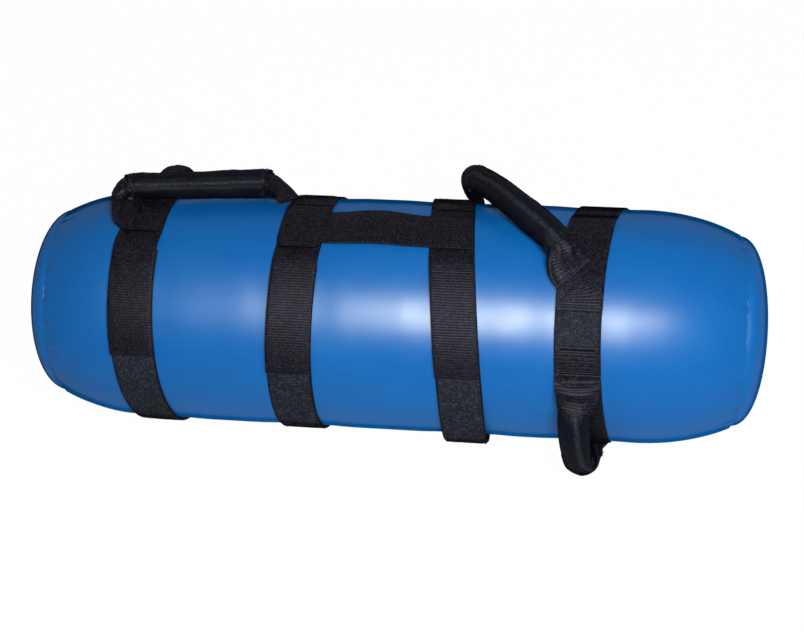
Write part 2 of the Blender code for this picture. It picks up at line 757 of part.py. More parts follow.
# A loop handle along its strap: degrees past its upper seam, lift, and how far it leans to the left
LOOP_HANDLE_PROFILE = [
    (0.0, 0.0044, 0.0000),
    (3.0, 0.0056, 0.0005),
    (6.5, 0.0112, 0.0020),
    (10.5, 0.0195, 0.0035),
    (16.0, 0.0270, 0.0050),
    (23.0, 0.0330, 0.0055),
    (31.0, 0.0362, 0.0050),
    (39.5, 0.0360, 0.0040),
    (47.5, 0.0322, 0.0030),
    (54.5, 0.0245, 0.0020),
    (60.0, 0.0155, 0.0010),
    (64.0, 0.0086, 0.0005),
    (67.0, 0.0052, 0.0000),
    (70.0, 0.0044, 0.0000),
]

# Bare webbing at each handle's two ends, and the angles that its tabs span
LEFT_CARRY_LEGS = (0.050, 0.052)
RIGHT_CARRY_LEGS = (0.030, 0.038)
LOOP_LEGS = (0.030, 0.026)
LEFT_CARRY_TAB_LEFT = (86.0, 113.0)
LEFT_CARRY_TAB_RIGHT = (79.5, 127.0)
RIGHT_CARRY_TAB_LEFT = (112.0, 141.0)
RIGHT_CARRY_TAB_RIGHT = (58.5, 79.0)
DIAGONAL_TAB_TOP_WIDTH = 0.042
DIAGONAL_TAB_TIP_WIDTH = 0.004
TAB_BUTT_GAP = 1.2
LOWER_TAB_REACH = 13.0
FRONT_LOOP_START = 14.0
FRONT_LOOP_TAB_TOP = 38.0
REAR_LOOP_START = 136.0
REAR_LOOP_TAB_TOP = 115.0


def carry_route(first, second, shares):
    return [(first.x + (second.x - first.x) * share, angle, lift) for share, angle, lift in shares]


def loop_route(strap, start, direction):
    route = []
    for past, lift, lean in LOOP_HANDLE_PROFILE:
        angle = start + direction * past
        route.append((strap_x(strap, angle) - lean, angle, lift))
    return route


def make_diagonal_tab(name, strap, low_angle, high_angle):
    """A tab whose webbing crosses its strap at a slant, trimmed to the strap's left edge."""
    rows = []
    for angle in angles_between(high_angle, low_angle):
        share = (angle - low_angle) / (high_angle - low_angle)
        left = strap_x(strap, angle) - WEBBING_WIDTH / 2
        right = left + DIAGONAL_TAB_TIP_WIDTH + (DIAGONAL_TAB_TOP_WIDTH - DIAGONAL_TAB_TIP_WIDTH) * share
        bottom = webbing_top(strap, angle) + SEWN_GAP
        rows.append([(x, angle, bottom, bottom + WEBBING_THICKNESS) for x in (left, right)])
    return sheet_solid(name, rows, BLACK_WEBBING)


def make_carry_handles():
    route = carry_route(STRAPS[1], STRAPS[2], LEFT_CARRY_ROUTE)
    make_handle("left_carry_handle", route, *LEFT_CARRY_LEGS)
    make_tab("left_carry_handle_tab_left", STRAPS[1], *LEFT_CARRY_TAB_LEFT, sewn_on(STRAPS[1]))
    make_tab("left_carry_handle_tab_right", STRAPS[2], *LEFT_CARRY_TAB_RIGHT, over_cross_strap)
    route = carry_route(STRAPS[3], STRAPS[4], RIGHT_CARRY_ROUTE)
    make_handle("right_carry_handle", route, *RIGHT_CARRY_LEGS, stands_up=True)
    make_tab("right_carry_handle_tab_left", STRAPS[3], *RIGHT_CARRY_TAB_LEFT, sewn_on(STRAPS[3]))
    make_diagonal_tab("right_carry_handle_tab_right", STRAPS[4], *RIGHT_CARRY_TAB_RIGHT)


def make_loop_handle(label, strap, start, direction, tab_top):
    """A loop handle along its strap, going down the front or the back, with a tab at each end."""
    make_handle(label, loop_route(strap, start, direction), *LOOP_LEGS)
    upper = start - direction * TAB_BUTT_GAP
    make_tab(label + "_tab_upper", strap, tab_top, upper, sewn_on(strap))
    lower = start + direction * (LOOP_HANDLE_PROFILE[-1][0] + TAB_BUTT_GAP)
    make_tab(label + "_tab_lower", strap, lower, lower + direction * LOWER_TAB_REACH, sewn_on(strap))


def main():
    clear_scene()
    make_shell()
    make_valve()
    for number, strap in STRAPS.items():
        make_strap(number, strap)
    make_cross_strap()
    make_carry_handles()
    make_loop_handle("front_loop_handle", STRAPS[4], FRONT_LOOP_START, -1, FRONT_LOOP_TAB_TOP)
    make_loop_handle("rear_loop_handle", STRAPS[1], REAR_LOOP_START, 1, REAR_LOOP_TAB_TOP)


main()
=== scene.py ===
# %% [markdown]
# # A water-filled training bag
# The object is a tube of blue coated fabric with domed ends, filled with water through a valve. Four black
# webbing straps go round it and close on themselves with hook and loop tape. Four padded handles are sewn
# on the straps. This lesson builds each piece as a maker would, on the packed model's frame, in metres,
# with +Z up, X along the bag and the front towards -Y.

# %% Load the frame
import math
import random

import bmesh
import bpy
import numpy as np
from mathutils import Matrix, Vector, noise


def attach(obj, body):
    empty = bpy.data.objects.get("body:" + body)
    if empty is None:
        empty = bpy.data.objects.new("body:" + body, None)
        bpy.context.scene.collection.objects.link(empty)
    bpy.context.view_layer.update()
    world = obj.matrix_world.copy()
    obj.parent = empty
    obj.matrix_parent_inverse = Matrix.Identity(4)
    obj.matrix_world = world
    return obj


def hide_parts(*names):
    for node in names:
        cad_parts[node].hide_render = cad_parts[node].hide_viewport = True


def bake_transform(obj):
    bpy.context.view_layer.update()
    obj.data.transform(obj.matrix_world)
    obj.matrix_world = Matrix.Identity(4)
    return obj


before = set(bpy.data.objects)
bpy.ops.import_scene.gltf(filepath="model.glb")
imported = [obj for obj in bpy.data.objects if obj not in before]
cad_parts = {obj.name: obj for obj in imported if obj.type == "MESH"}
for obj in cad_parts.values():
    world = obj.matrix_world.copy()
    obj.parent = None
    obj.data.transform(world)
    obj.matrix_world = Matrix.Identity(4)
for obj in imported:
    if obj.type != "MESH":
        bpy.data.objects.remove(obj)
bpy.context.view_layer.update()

# %% [markdown]
# ## Sizes
# These repeat the driving sizes of the model that the frame was packed from, so that each new piece lands
# where its plain one was. A place on the bag is given by x, an angle round the bag (0 at the front, 90 on
# top, -90 on the floor) and a lift above the skin, because that is how a maker would mark it out.

# %% Sizes of the bag
SKIN_RADIUS = 0.135
SKIN_WALL = 0.0012
STRAIGHT_HALF = 0.243
SEAM_HALF = 0.3915
SEAM_RADIUS = 0.1114
SHOULDER_POWER = 3.47
DOME_DEPTH = 0.034
DOME_POWER = 2.36
SKIRT_LENGTH = 0.012
FLAT_HALF_WIDTH = 0.032
SAG_HALF_LENGTH = 0.030
SAG_FADE = 0.025
FIT_GAP = 0.0003

WEBBING_WIDTH = 0.050
WEBBING_THICKNESS = 0.0016
LOOP_TAPE_THICKNESS = 0.0016
HOOK_TAPE_THICKNESS = 0.0010
TAPE_INSET = 0.0015
SEWN_GAP = 0.0005
CORNER_RADIUS = 0.012
START_BEHIND_HINGE = 6.0
RAMP_GAP = 1.0
RAMP_LENGTH = 12.0

SLEEVE_RADIUS = 0.0145

CROSS_STRAP_LOW = 82.7
CROSS_STRAP_HIGH = 104.6
CROSS_STRAP_BOW = 0.003
CROSS_STRAP_EDGE_LIFT = 0.002

FABRIC_FLOOR = WEBBING_THICKNESS + FIT_GAP
AXIS_HEIGHT = FABRIC_FLOOR + math.sqrt(SKIN_RADIUS**2 - FLAT_HALF_WIDTH**2)


class Strap:
    """A strap's middle, how far its ring leans, where its free end stops and how slack it hangs."""

    def __init__(self, x, lean_front, lean_top, end, hook_length, loop_end, peels=True, slack=0.0):
        self.x = x
        self.lean_front = lean_front
        self.lean_top = lean_top
        self.end = end
        self.hinge = end + hook_length
        self.start = self.hinge + START_BEHIND_HINGE
        self.loop_end = loop_end
        self.peels = peels
        self.slack = slack


SLACK_FROM = -70.0
SLACK_TO = 20.0
STRAPS = {
    1: Strap(-0.2754, -0.0023, -0.0067, end=25.0, hook_length=45.0, loop_end=-60.0),
    2: Strap(-0.0959, -0.0076, -0.0028, end=20.0, hook_length=45.0, loop_end=-60.0),
    3: Strap(0.0788, 0.0088, -0.0099, end=22.0, hook_length=45.0, loop_end=-60.0, slack=0.008),
    4: Strap(0.2407, -0.0198, -0.0236, end=55.0, hook_length=41.0, loop_end=40.0, peels=False),
}
print("straps", {number: (strap.x, strap.end, strap.hinge) for number, strap in STRAPS.items()})

# %% Places on the bag
def ease(share):
    """A rise from 0 to 1 that starts and stops gently."""
    return (1 - np.cos(np.pi * np.clip(share, 0.0, 1.0))) / 2


def skin_radius(x):
    """The bag's outer radius: straight in the middle, drawn in towards each seam."""
    share = np.clip((np.abs(x) - STRAIGHT_HALF) / (SEAM_HALF - STRAIGHT_HALF), 0.0, 1.0)
    return SEAM_RADIUS + (SKIN_RADIUS - SEAM_RADIUS) * (1 - share**SHOULDER_POWER)


def floor_height(x):
    """Where the skin rests: a strap's thickness up, but on the floor between the two middle straps."""
    return FABRIC_FLOOR * (1 - np.clip((SAG_HALF_LENGTH + SAG_FADE - np.abs(x)) / SAG_FADE, 0.0, 1.0))


def on_bag(x, angle, lift=0.0):
    """Points of the bag's surface, lifted off it, for arrays of x and angles."""
    x, angle, lift = np.broadcast_arrays(np.asarray(x, float), angle, lift)
    turn = np.radians(angle)
    radius = skin_radius(x) + lift
    z = AXIS_HEIGHT + radius * np.sin(turn)
    return np.stack([x, -radius * np.cos(turn), np.maximum(z, floor_height(x) - lift)], -1)


def outward_at(angle):
    """The direction away from the skin."""
    turn = math.radians(angle)
    return np.array([0.0, -math.cos(turn), math.sin(turn)])


HANDLE_PULL = 0.010
PULL_ANGLE = -60.0
PULL_SPREAD = 32.0


print("top of the bag", on_bag(0.0, 90.0).round(4))

# %% Where the straps lie
def strap_x(strap, angle):
    """x of the strap's middle. The front loop handle pulls strap 4 to the left under the bag."""
    turn = np.radians(angle)
    pull = 0.0 if strap.peels else HANDLE_PULL * np.exp(-(((angle - PULL_ANGLE) / PULL_SPREAD) ** 2))
    return strap.x + strap.lean_front * np.cos(turn) + strap.lean_top * np.sin(turn) - pull


def slack_at(strap, angle):
    """How far the strap hangs off the skin at this angle."""
    share = (np.asarray(angle, float) - SLACK_FROM) / (SLACK_TO - SLACK_FROM)
    return strap.slack * np.sin(np.pi * np.clip(share, 0.0, 1.0)) ** 2


def first_lap(strap, angle):
    """Lift of the under side of the webbing's first lap. The tapes and the free end lie on it in turn."""
    return FIT_GAP + slack_at(strap, angle)


def loop_low(strap, angle):
    return first_lap(strap, angle) + WEBBING_THICKNESS + FIT_GAP


def hook_low(strap, angle):
    return loop_low(strap, angle) + LOOP_TAPE_THICKNESS + FIT_GAP


def free_end_low(strap, angle):
    return hook_low(strap, angle) + HOOK_TAPE_THICKNESS + FIT_GAP


def outer_lap_low(strap, angle):
    """Lift of the webbing's under side where it climbs over its own start."""
    share = (strap.start + RAMP_GAP + RAMP_LENGTH - np.asarray(angle, float)) / RAMP_LENGTH
    return FIT_GAP + (free_end_low(strap, angle) - FIT_GAP) * ease(share)


def webbing_top(strap, angle):
    """Lift of the strap's outermost webbing."""
    angle = np.asarray(angle, float)
    lapped = (angle >= strap.end) & (angle <= strap.start + RAMP_GAP + RAMP_LENGTH)
    low = np.where(lapped, outer_lap_low(strap, angle), first_lap(strap, angle))
    return low + WEBBING_THICKNESS


def sewn_low(strap, angle):
    """Lift of the under side of what is sewn on the strap."""
    return webbing_top(strap, angle) + SEWN_GAP


print("webbing of strap 1 stands", round(float(webbing_top(STRAPS[1], 180.0)) * 1000, 1), "mm off the skin")

# %% [markdown]
# ## Meshes
# Webbing, tape and sleeves are all rows of points joined into a skin. A curve with a bevel would be quicker
# to draw, but rows can follow the bag, swell over what lies below and open out like a fan. Each mesh
# carries a map in metres, along the yarn and across it, so that the weave keeps its real size on every
# piece.

# %% Mesh makers
# An edge that bends more than this many degrees stays sharp
SMOOTH_PLAIN = 35.0
SMOOTH_WEBBING = 60.0
SMOOTH_SLEEVE = 70.0
SMOOTH_THREAD = 80.0


def new_object(name, points, faces, weave=None, smooth_angle=SMOOTH_PLAIN):
    """A mesh object. The weave map holds two lengths in metres for each point."""
    mesh = bpy.data.meshes.new(name)
    mesh.from_pydata(np.asarray(points, float).reshape(-1, 3).tolist(), [], faces)
    if weave is not None:
        layer = mesh.uv_layers.new(name="Weave")
        corners = np.zeros(len(mesh.loops), np.int32)
        mesh.loops.foreach_get("vertex_index", corners)
        places = np.asarray(weave, float).reshape(-1, 2)[corners]
        layer.data.foreach_set("uv", places.astype(np.float32).ravel())
    mesh.shade_smooth()
    mesh.set_sharp_from_angle(angle=math.radians(smooth_angle))
    obj = bpy.data.objects.new(name, mesh)
    bpy.context.scene.collection.objects.link(obj)
    return obj


def turned_outward(obj):
    """Makes all faces of a closed piece look outward."""
    shape = bmesh.new()
    shape.from_mesh(obj.data)
    bmesh.ops.recalc_face_normals(shape, faces=shape.faces)
    if shape.calc_volume(signed=True) < 0:
        bmesh.ops.reverse_faces(shape, faces=shape.faces)
    shape.to_mesh(obj.data)
    shape.free()
    return obj


def ring_faces(rows, size, closed_ends):
    """Faces between rows of points that each go once round, with caps where the two ends stay open."""
    faces = []
    joins = rows if closed_ends else rows - 1
    for i in range(joins):
        here = i * size
        there = ((i + 1) % rows) * size
        for k in range(size):
            after = (k + 1) % size
            faces.append((here + k, here + after, there + after, there + k))
    if not closed_ends:
        faces.append(tuple(range(size)))
        faces.append(tuple(range(rows * size - size, rows * size)))
    return faces


def ring_object(name, rings, weave=None, closed_ends=False, smooth_angle=SMOOTH_PLAIN):
    """A closed piece from rings of points, one behind the other."""
    rings = np.asarray(rings, float)
    faces = ring_faces(rings.shape[0], rings.shape[1], closed_ends)
    return turned_outward(new_object(name, rings, faces, weave, smooth_angle))


print("two rings of four points make", len(ring_faces(2, 4, False)), "faces")

# %% Directions and looks
def full_turn(sides):
    """Evenly spaced angles once round, in radians."""
    return np.linspace(0, 2 * math.pi, sides, endpoint=False)


def unit(vector):
    return vector / np.linalg.norm(vector)


def unit_rows(vectors):
    return vectors / np.linalg.norm(vectors, axis=1)[:, None]


def show_as(obj, body, slot, material, *nodes):
    """Hangs a piece on its body, gives it its finish and lets it stand for the frame's nodes."""
    obj.data.materials.append(material)
    if body:
        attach(obj, body)
    if nodes:
        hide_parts(*nodes)
    return obj


print("a full turn in four steps", full_turn(4).round(2))

# %% [markdown]
# ## Materials
# Four shared effects are built once as node groups: the ribs of woven webbing, the curls of loop pile, the
# fine cloth of the sleeves, and a grain with scuffs for coated fabric and moulded plastic. Each gives a
# shade between 0 and 1 and a normal, which one material can use for a dark yarn and another for a pale one.
# On webbing and sleeve cloth that shade is darker between the yarns, which is painted shade. The webbing's
# shade also carries painted glints, and the cloth gives a band of painted sheen beside its seam as well.
# The shaders stay in the materials. Sizes are in metres, and a noise scale is in waves to the metre.

# %% Node helpers
class Nodes:
    """Adds nodes to a tree with short calls. An input may be a socket or a plain value."""

    def __init__(self, tree):
        self.tree = tree

    def add(self, kind, **settings):
        node = self.tree.nodes.new(kind)
        for key, value in settings.items():
            setattr(node, key, value)
        return node

    def feed(self, socket, source):
        if isinstance(source, bpy.types.NodeSocket):
            self.tree.links.new(source, socket)
        elif source is not None:
            socket.default_value = source

    def math(self, operation, a, b=None, c=None, clamp=False):
        node = self.add("ShaderNodeMath", operation=operation, use_clamp=clamp)
        for socket, source in zip(node.inputs, (a, b, c)):
            self.feed(socket, source)
        return node.outputs[0]

    def noise(self, vector, scale, detail=2.0, roughness=0.5):
        node = self.add("ShaderNodeTexNoise")
        self.feed(node.inputs["Vector"], vector)
        self.feed(node.inputs["Scale"], scale)
        self.feed(node.inputs["Detail"], detail)
        self.feed(node.inputs["Roughness"], roughness)
        return node.outputs["Fac"]

    def combine(self, x, y, z=0.0):
        node = self.add("ShaderNodeCombineXYZ")
        for socket, source in zip(node.inputs, (x, y, z)):
            self.feed(socket, source)
        return node.outputs[0]

    def ranged(self, value, low, high, to_low=0.0, to_high=1.0):
        node = self.add("ShaderNodeMapRange")
        for socket, source in zip(node.inputs, (value, low, high, to_low, to_high)):
            self.feed(socket, source)
        return node.outputs[0]

    def mix_colour(self, share, a, b):
        """Mixes two colours. The node keeps them in sockets 6 and 7 and gives the result at output 2."""
        node = self.add("ShaderNodeMix", data_type="RGBA")
        self.feed(node.inputs[0], share)
        for socket, colour in zip(node.inputs[6:8], (a, b)):
            self.feed(socket, colour if isinstance(colour, bpy.types.NodeSocket) else (*colour, 1.0))
        return node.outputs[2]

    def bump(self, height, distance):
        node = self.add("ShaderNodeBump")
        self.feed(node.inputs["Height"], height)
        self.feed(node.inputs["Distance"], distance)
        self.feed(node.inputs["Strength"], 1.0)
        return node.outputs[0]

    def rounded_rows(self, rows):
        """A row of round backs: 0 at each whole number and 1 half way between."""
        return self.math("SINE", self.math("MULTIPLY", self.math("FRACT", rows), math.pi))

    def weave_place(self):
        """The weave map's two lengths in metres: along the yarn, then across it."""
        place = self.add("ShaderNodeSeparateXYZ")
        self.feed(place.inputs[0], self.add("ShaderNodeUVMap", uv_map="Weave").outputs[0])
        return place.outputs[0], place.outputs[1]

    def object_place(self):
        return self.add("ShaderNodeTexCoord").outputs["Object"]


print("node helpers", [name for name in vars(Nodes) if not name.startswith("_")])

# %% Node group maker
def new_group(name, inputs, outputs):
    """An empty node group with its sockets.

    It returns the helper that adds its nodes, the sockets that it is given and those of its result.
    """
    tree = bpy.data.node_groups.new(name, "ShaderNodeTree")
    for label, value in inputs.items():
        socket = tree.interface.new_socket(label, in_out="INPUT", socket_type="NodeSocketFloat")
        socket.default_value = value
    for label in outputs:
        kind = "NodeSocketVector" if label == "Normal" else "NodeSocketFloat"
        tree.interface.new_socket(label, in_out="OUTPUT", socket_type=kind)
    nodes = Nodes(tree)
    return nodes, nodes.add("NodeGroupInput").outputs, nodes.add("NodeGroupOutput").inputs


print("node groups so far", len(bpy.data.node_groups))

# %% [markdown]
# ## Woven ribs
# Heavy webbing shows ribs across its width. Each rib is a row of yarns that lie like small beads, and the
# next rib's beads sit half a step over. A picture of webbing could be wrapped on, but waves worked out from
# the weave map stay sharp from near by and follow every bend. The colour is darker in the grooves between
# the beads, which is painted shade. Areas of wear with painted glints, and single fibres, keep the rows from
# looking printed.

# %% Woven ribs
# Four shades together are the lowest and highest value that is read, and the shade at each of the two
RIB_WANDER = 0.0012
RIB_WANDER_NOISE = 90.0
CROWN_ROUNDNESS = 0.6
YARN_RELIEF = 0.45
PATCHES_TO_A_RIB = 2.0
PATCHES_TO_A_YARN = 1.5
PAINTED_GLINT_SHADES = (0.3, 1.0, 0.15, 1.0)
WEAR_AND_GLINT_NOISE = 420.0
WEAR_AND_GLINT_SHADES = (0.38, 0.62, 0.35, 1.0)
FIBRE_NOISE = 2600.0
FIBRE_SHARE = 0.9
FIBRE_BASE = 0.55


def make_rib_group():
    """Webbing: ribs across the strap, each a row of rounded yarns, half a yarn over from the next, with
    painted shade in the grooves and painted glints on the yarns.
    """
    inputs = {"Rib": 0.0029, "Yarn": 0.0017, "Depth": 0.0003}
    nodes, given, result = new_group("woven_ribs", inputs, ("Shade", "Normal"))
    along, across = nodes.weave_place()
    wander = nodes.math("SUBTRACT", nodes.noise(nodes.object_place(), RIB_WANDER_NOISE, 1.0), 0.5)
    along = nodes.math("MULTIPLY_ADD", wander, RIB_WANDER, along)
    ribs = nodes.math("DIVIDE", along, given["Rib"])
    crown = nodes.rounded_rows(ribs)
    yarns = nodes.math("DIVIDE", across, given["Yarn"])
    yarns = nodes.math("MULTIPLY_ADD", nodes.math("FLOOR", ribs), 0.5, yarns)
    pearl = nodes.math("MULTIPLY_ADD", nodes.rounded_rows(yarns), YARN_RELIEF, 1 - YARN_RELIEF)
    height = nodes.math("MULTIPLY", nodes.math("POWER", crown, CROWN_ROUNDNESS), pearl)
    # A random brightness for each small group of yarns: painted glints.
    patches = nodes.add("ShaderNodeTexWhiteNoise", noise_dimensions="2D")
    patch_row = nodes.math("FLOOR", nodes.math("MULTIPLY", ribs, PATCHES_TO_A_RIB))
    patch_column = nodes.math("FLOOR", nodes.math("MULTIPLY", yarns, PATCHES_TO_A_YARN))
    nodes.feed(patches.inputs["Vector"], nodes.combine(patch_row, patch_column))
    painted_glint = nodes.ranged(patches.outputs["Value"], *PAINTED_GLINT_SHADES)
    # Broad areas of wear, where the painted glints also gather.
    worn = nodes.ranged(nodes.noise(nodes.object_place(), WEAR_AND_GLINT_NOISE), *WEAR_AND_GLINT_SHADES)
    fibre = nodes.noise(nodes.object_place(), FIBRE_NOISE)
    # The rib's height darkens the grooves between ribs and yarns: painted shade.
    shade = nodes.math("MULTIPLY", nodes.math("MULTIPLY", height, worn), painted_glint)
    fibre = nodes.math("MULTIPLY_ADD", fibre, FIBRE_SHARE, FIBRE_BASE)
    nodes.feed(result["Shade"], nodes.math("MULTIPLY", shade, fibre, clamp=True))
    nodes.feed(result["Normal"], nodes.bump(height, given["Depth"]))
    return nodes.tree


RIBS = make_rib_group()
print("woven ribs", len(RIBS.nodes), "nodes")

# %% [markdown]
# ## Pile
# Loop tape is a field of small curls, brushed one way or the other by use. Real curls would be thousands of
# tiny arcs, so cells with a bump stand for them. A broad noise and a fine one give them their shade.

# %% Pile
BRUSHED_NOISE = 230.0
BRUSHED_SHADES = (0.40, 0.62, 0.15, 1.0)
FUZZ_NOISE = 620.0
FUZZ_SHADES = (0.44, 0.64)


def make_pile_group():
    """Loop or hook pile: small curls, brushed into lighter and darker patches."""
    nodes, given, result = new_group("pile", {"Curl": 1500.0, "Depth": 0.0005}, ("Shade", "Normal"))
    place = nodes.object_place()
    curls = nodes.add("ShaderNodeTexVoronoi", feature="F1")
    nodes.feed(curls.inputs["Vector"], place)
    nodes.feed(curls.inputs["Scale"], given["Curl"])
    knots = nodes.math("SUBTRACT", 1.0, curls.outputs["Distance"], clamp=True)
    brushed = nodes.noise(place, BRUSHED_NOISE, detail=3.0, roughness=0.65)
    fuzz = nodes.noise(place, FUZZ_NOISE, detail=3.0, roughness=0.7)
    height = nodes.math("MULTIPLY", knots, nodes.math("ADD", brushed, fuzz))
    shade = nodes.math("MULTIPLY", nodes.ranged(brushed, *BRUSHED_SHADES), nodes.ranged(fuzz, *FUZZ_SHADES))
    nodes.feed(result["Shade"], shade)
    nodes.feed(result["Normal"], nodes.bump(height, given["Depth"]))
    return nodes.tree


PILE = make_pile_group()
print("pile", len(PILE.nodes), "nodes")

# %% [markdown]
# ## Sleeve cloth
# The sleeves' cloth is fine and dull. It has thin ribs on one side of the seam and a slanting twill on the
# other, and creases along its length. Its colour is darker between the yarns, which is painted shade, and a
# pale band beside the seam is partly wear from rubbing and partly painted sheen. The same group serves
# sewing thread, with a finer yarn and no seam.

# %% Sleeve cloth
TWILL_SLANT = 0.8
YARNS_TO_A_RIB = 2.6
RIBS_START = 0.001
THREAD_RELIEF = 0.35
CREASE_NOISE = 260.0
CREASE_STRETCH = 0.25
CREASE_RELIEF = 5.0
CLOTH_FIBRE_NOISE = 2200.0
PAINTED_GROOVE_SHADE = 0.75
BAND_EDGE = 0.0025
BAND_NOISE = 600.0
BAND_SHADES = (0.42, 0.66)


def make_cloth_group():
    """Sleeve cloth: ribs round it above its seam, a fine slanting twill below, painted shade between the
    yarns, and a pale band along the seam that is partly wear and partly painted sheen.
    """
    inputs = {"Yarn": 0.0011, "Depth": 0.00012, "Seam": 0.0}
    nodes, given, result = new_group("sleeve_twill", inputs, ("Shade", "Worn", "Normal"))
    along, across = nodes.weave_place()
    slant = nodes.math("MULTIPLY_ADD", across, TWILL_SLANT, along)
    twill = nodes.rounded_rows(nodes.math("DIVIDE", slant, given["Yarn"]))
    thread = nodes.rounded_rows(nodes.math("DIVIDE", across, given["Yarn"]))
    ribs = nodes.math("DIVIDE", nodes.math("DIVIDE", along, given["Yarn"]), YARNS_TO_A_RIB)
    above = nodes.math("GREATER_THAN", across, RIBS_START)
    has_seam = nodes.math("GREATER_THAN", given["Seam"], 0.0)
    ribbed_half = nodes.math("MULTIPLY", above, has_seam)
    ribbed_part = nodes.math("MULTIPLY", nodes.rounded_rows(ribs), ribbed_half)
    twill_part = nodes.math("MULTIPLY", twill, nodes.math("SUBTRACT", 1.0, ribbed_half))
    weave = nodes.math("ADD", ribbed_part, twill_part)
    stretched = nodes.combine(nodes.math("MULTIPLY", along, CREASE_STRETCH), across)
    creases = nodes.noise(stretched, CREASE_NOISE, detail=3.0, roughness=0.6)
    height = nodes.math("MULTIPLY_ADD", thread, THREAD_RELIEF, weave)
    height = nodes.math("MULTIPLY_ADD", creases, CREASE_RELIEF, height)
    fibre = nodes.noise(nodes.object_place(), CLOTH_FIBRE_NOISE)
    # The weave also darkens the colour between the yarns: painted shade.
    shade = nodes.math("MULTIPLY", nodes.math("MULTIPLY_ADD", weave, PAINTED_GROOVE_SHADE, 1 - PAINTED_GROOVE_SHADE), fibre)
    # A pale band beside the seam, partly wear from rubbing and partly painted sheen.
    beside = nodes.math("SUBTRACT", given["Seam"], nodes.math("ABSOLUTE", across))
    band = nodes.ranged(beside, 0.0, BAND_EDGE)
    band_mottle = nodes.noise(nodes.object_place(), BAND_NOISE, detail=3.0, roughness=0.7)
    nodes.feed(result["Worn"], nodes.math("MULTIPLY", band, nodes.ranged(band_mottle, *BAND_SHADES)))
    nodes.feed(result["Shade"], shade)
    nodes.feed(result["Normal"], nodes.bump(height, given["Depth"]))
    return nodes.tree


CLOTH = make_cloth_group()
print("sleeve cloth", len(CLOTH.nodes), "nodes")

# %% [markdown]
# ## Grain
# Coated fabric, moulded plastic, rubber and foam share one look at different sizes: a pebbled grain, broad
# smudges, and a few thin scuffs. One group serves them all, with the grain's size and depth as its inputs.

# %% Grain
SLOW_NOISE = 9.0
SMUDGE_NOISE = 38.0
SMUDGE_SHARE = 0.6
SLOW_SHARE = 0.4
SCUFF_STRETCH = (1.0, 9.0, 5.0)
SCUFF_NOISE = 22.0
SCUFF_SHADES = (0.60, 0.74)
SCUFF_AREAS = (0.45, 0.65)


def make_grain_group():
    """A fine pebbled grain, with broad smudges and a few thin scuffs for the shade."""
    inputs = {"Grain": 1400.0, "Depth": 0.00002}
    nodes, given, result = new_group("fine_grain", inputs, ("Shade", "Scuffs", "Normal"))
    place = nodes.object_place()
    pebbles = nodes.noise(place, given["Grain"], detail=2.0, roughness=0.6)
    slow = nodes.noise(place, SLOW_NOISE)
    smudges = nodes.noise(place, SMUDGE_NOISE, detail=4.0, roughness=0.6)
    stretched = nodes.add("ShaderNodeVectorMath", operation="MULTIPLY")
    nodes.feed(stretched.inputs[0], place)
    nodes.feed(stretched.inputs[1], SCUFF_STRETCH)
    lines = nodes.noise(stretched.outputs[0], SCUFF_NOISE, detail=5.0, roughness=0.75)
    scuffs = nodes.math("MULTIPLY", nodes.ranged(lines, *SCUFF_SHADES), nodes.ranged(slow, *SCUFF_AREAS))
    slow_part = nodes.math("MULTIPLY", slow, SLOW_SHARE)
    nodes.feed(result["Shade"], nodes.math("MULTIPLY_ADD", smudges, SMUDGE_SHARE, slow_part))
    nodes.feed(result["Scuffs"], scuffs)
    nodes.feed(result["Normal"], nodes.bump(pebbles, given["Depth"]))
    return nodes.tree


GRAIN = make_grain_group()
print("grain", len(GRAIN.nodes), "nodes")

# %% [markdown]
# ## Finishes
# Each finish is one plain shader. A shared effect gives it the shade that sets its colour, and its normal.
# Cloth loses its gloss where it is seen at a glancing angle, because its fibres shade each other. A Layer
# Weight node does that here, and the coated fabric uses it too.

# %% Finish makers
GLOSS_FADE = (0.30, 0.75)
SCUFF_LIGHTENS = 0.35
SMUDGE_LIGHTENS = (0.35, 0.65, 0.0, 0.35)
SMUDGE_RANGE = (0.3, 0.7)
SMOOTHEST = -0.03
ROUGHEST = 0.04
SCUFF_ROUGHENS = 0.10


def new_finish(name, group, roughness=0.5, specular=0.5, dulls=True, tint=(1, 1, 1), **settings):
    """A material whose shader takes the group's normal. It returns the material, its nodes and both ends.

    With dulls on, its gloss fades where the surface is seen at a glancing angle, as on cloth.
    """
    material = bpy.data.materials.new(name)
    material.use_nodes = True
    nodes = Nodes(material.node_tree)
    shader = material.node_tree.nodes["Principled BSDF"]
    effect = nodes.add("ShaderNodeGroup", node_tree=group)
    for key, value in settings.items():
        effect.inputs[key].default_value = value
    shader.inputs["Roughness"].default_value = roughness
    shader.inputs["Specular IOR Level"].default_value = specular
    shader.inputs["Specular Tint"].default_value = (*tint, 1)
    if dulls:
        facing = nodes.add("ShaderNodeLayerWeight").outputs["Facing"]
        nodes.feed(shader.inputs["Specular IOR Level"], nodes.ranged(facing, *GLOSS_FADE, specular, 0.0))
    nodes.feed(shader.inputs["Normal"], effect.outputs["Normal"])
    return material, nodes, shader, effect


def yarn_finish(name, group, dark, light, worn=None, **settings):
    """Webbing, pile or cloth: dark where the group's shade is low and light where it is high. On webbing and
    cloth the dark between the yarns is painted shade. The worn colour goes on the band that the group marks,
    partly wear and partly painted sheen.
    """
    material, nodes, shader, effect = new_finish(name, group, **settings)
    colour = nodes.mix_colour(effect.outputs["Shade"], dark, light)
    if worn:
        colour = nodes.mix_colour(effect.outputs["Worn"], colour, worn)
    nodes.feed(shader.inputs["Base Color"], colour)
    return material


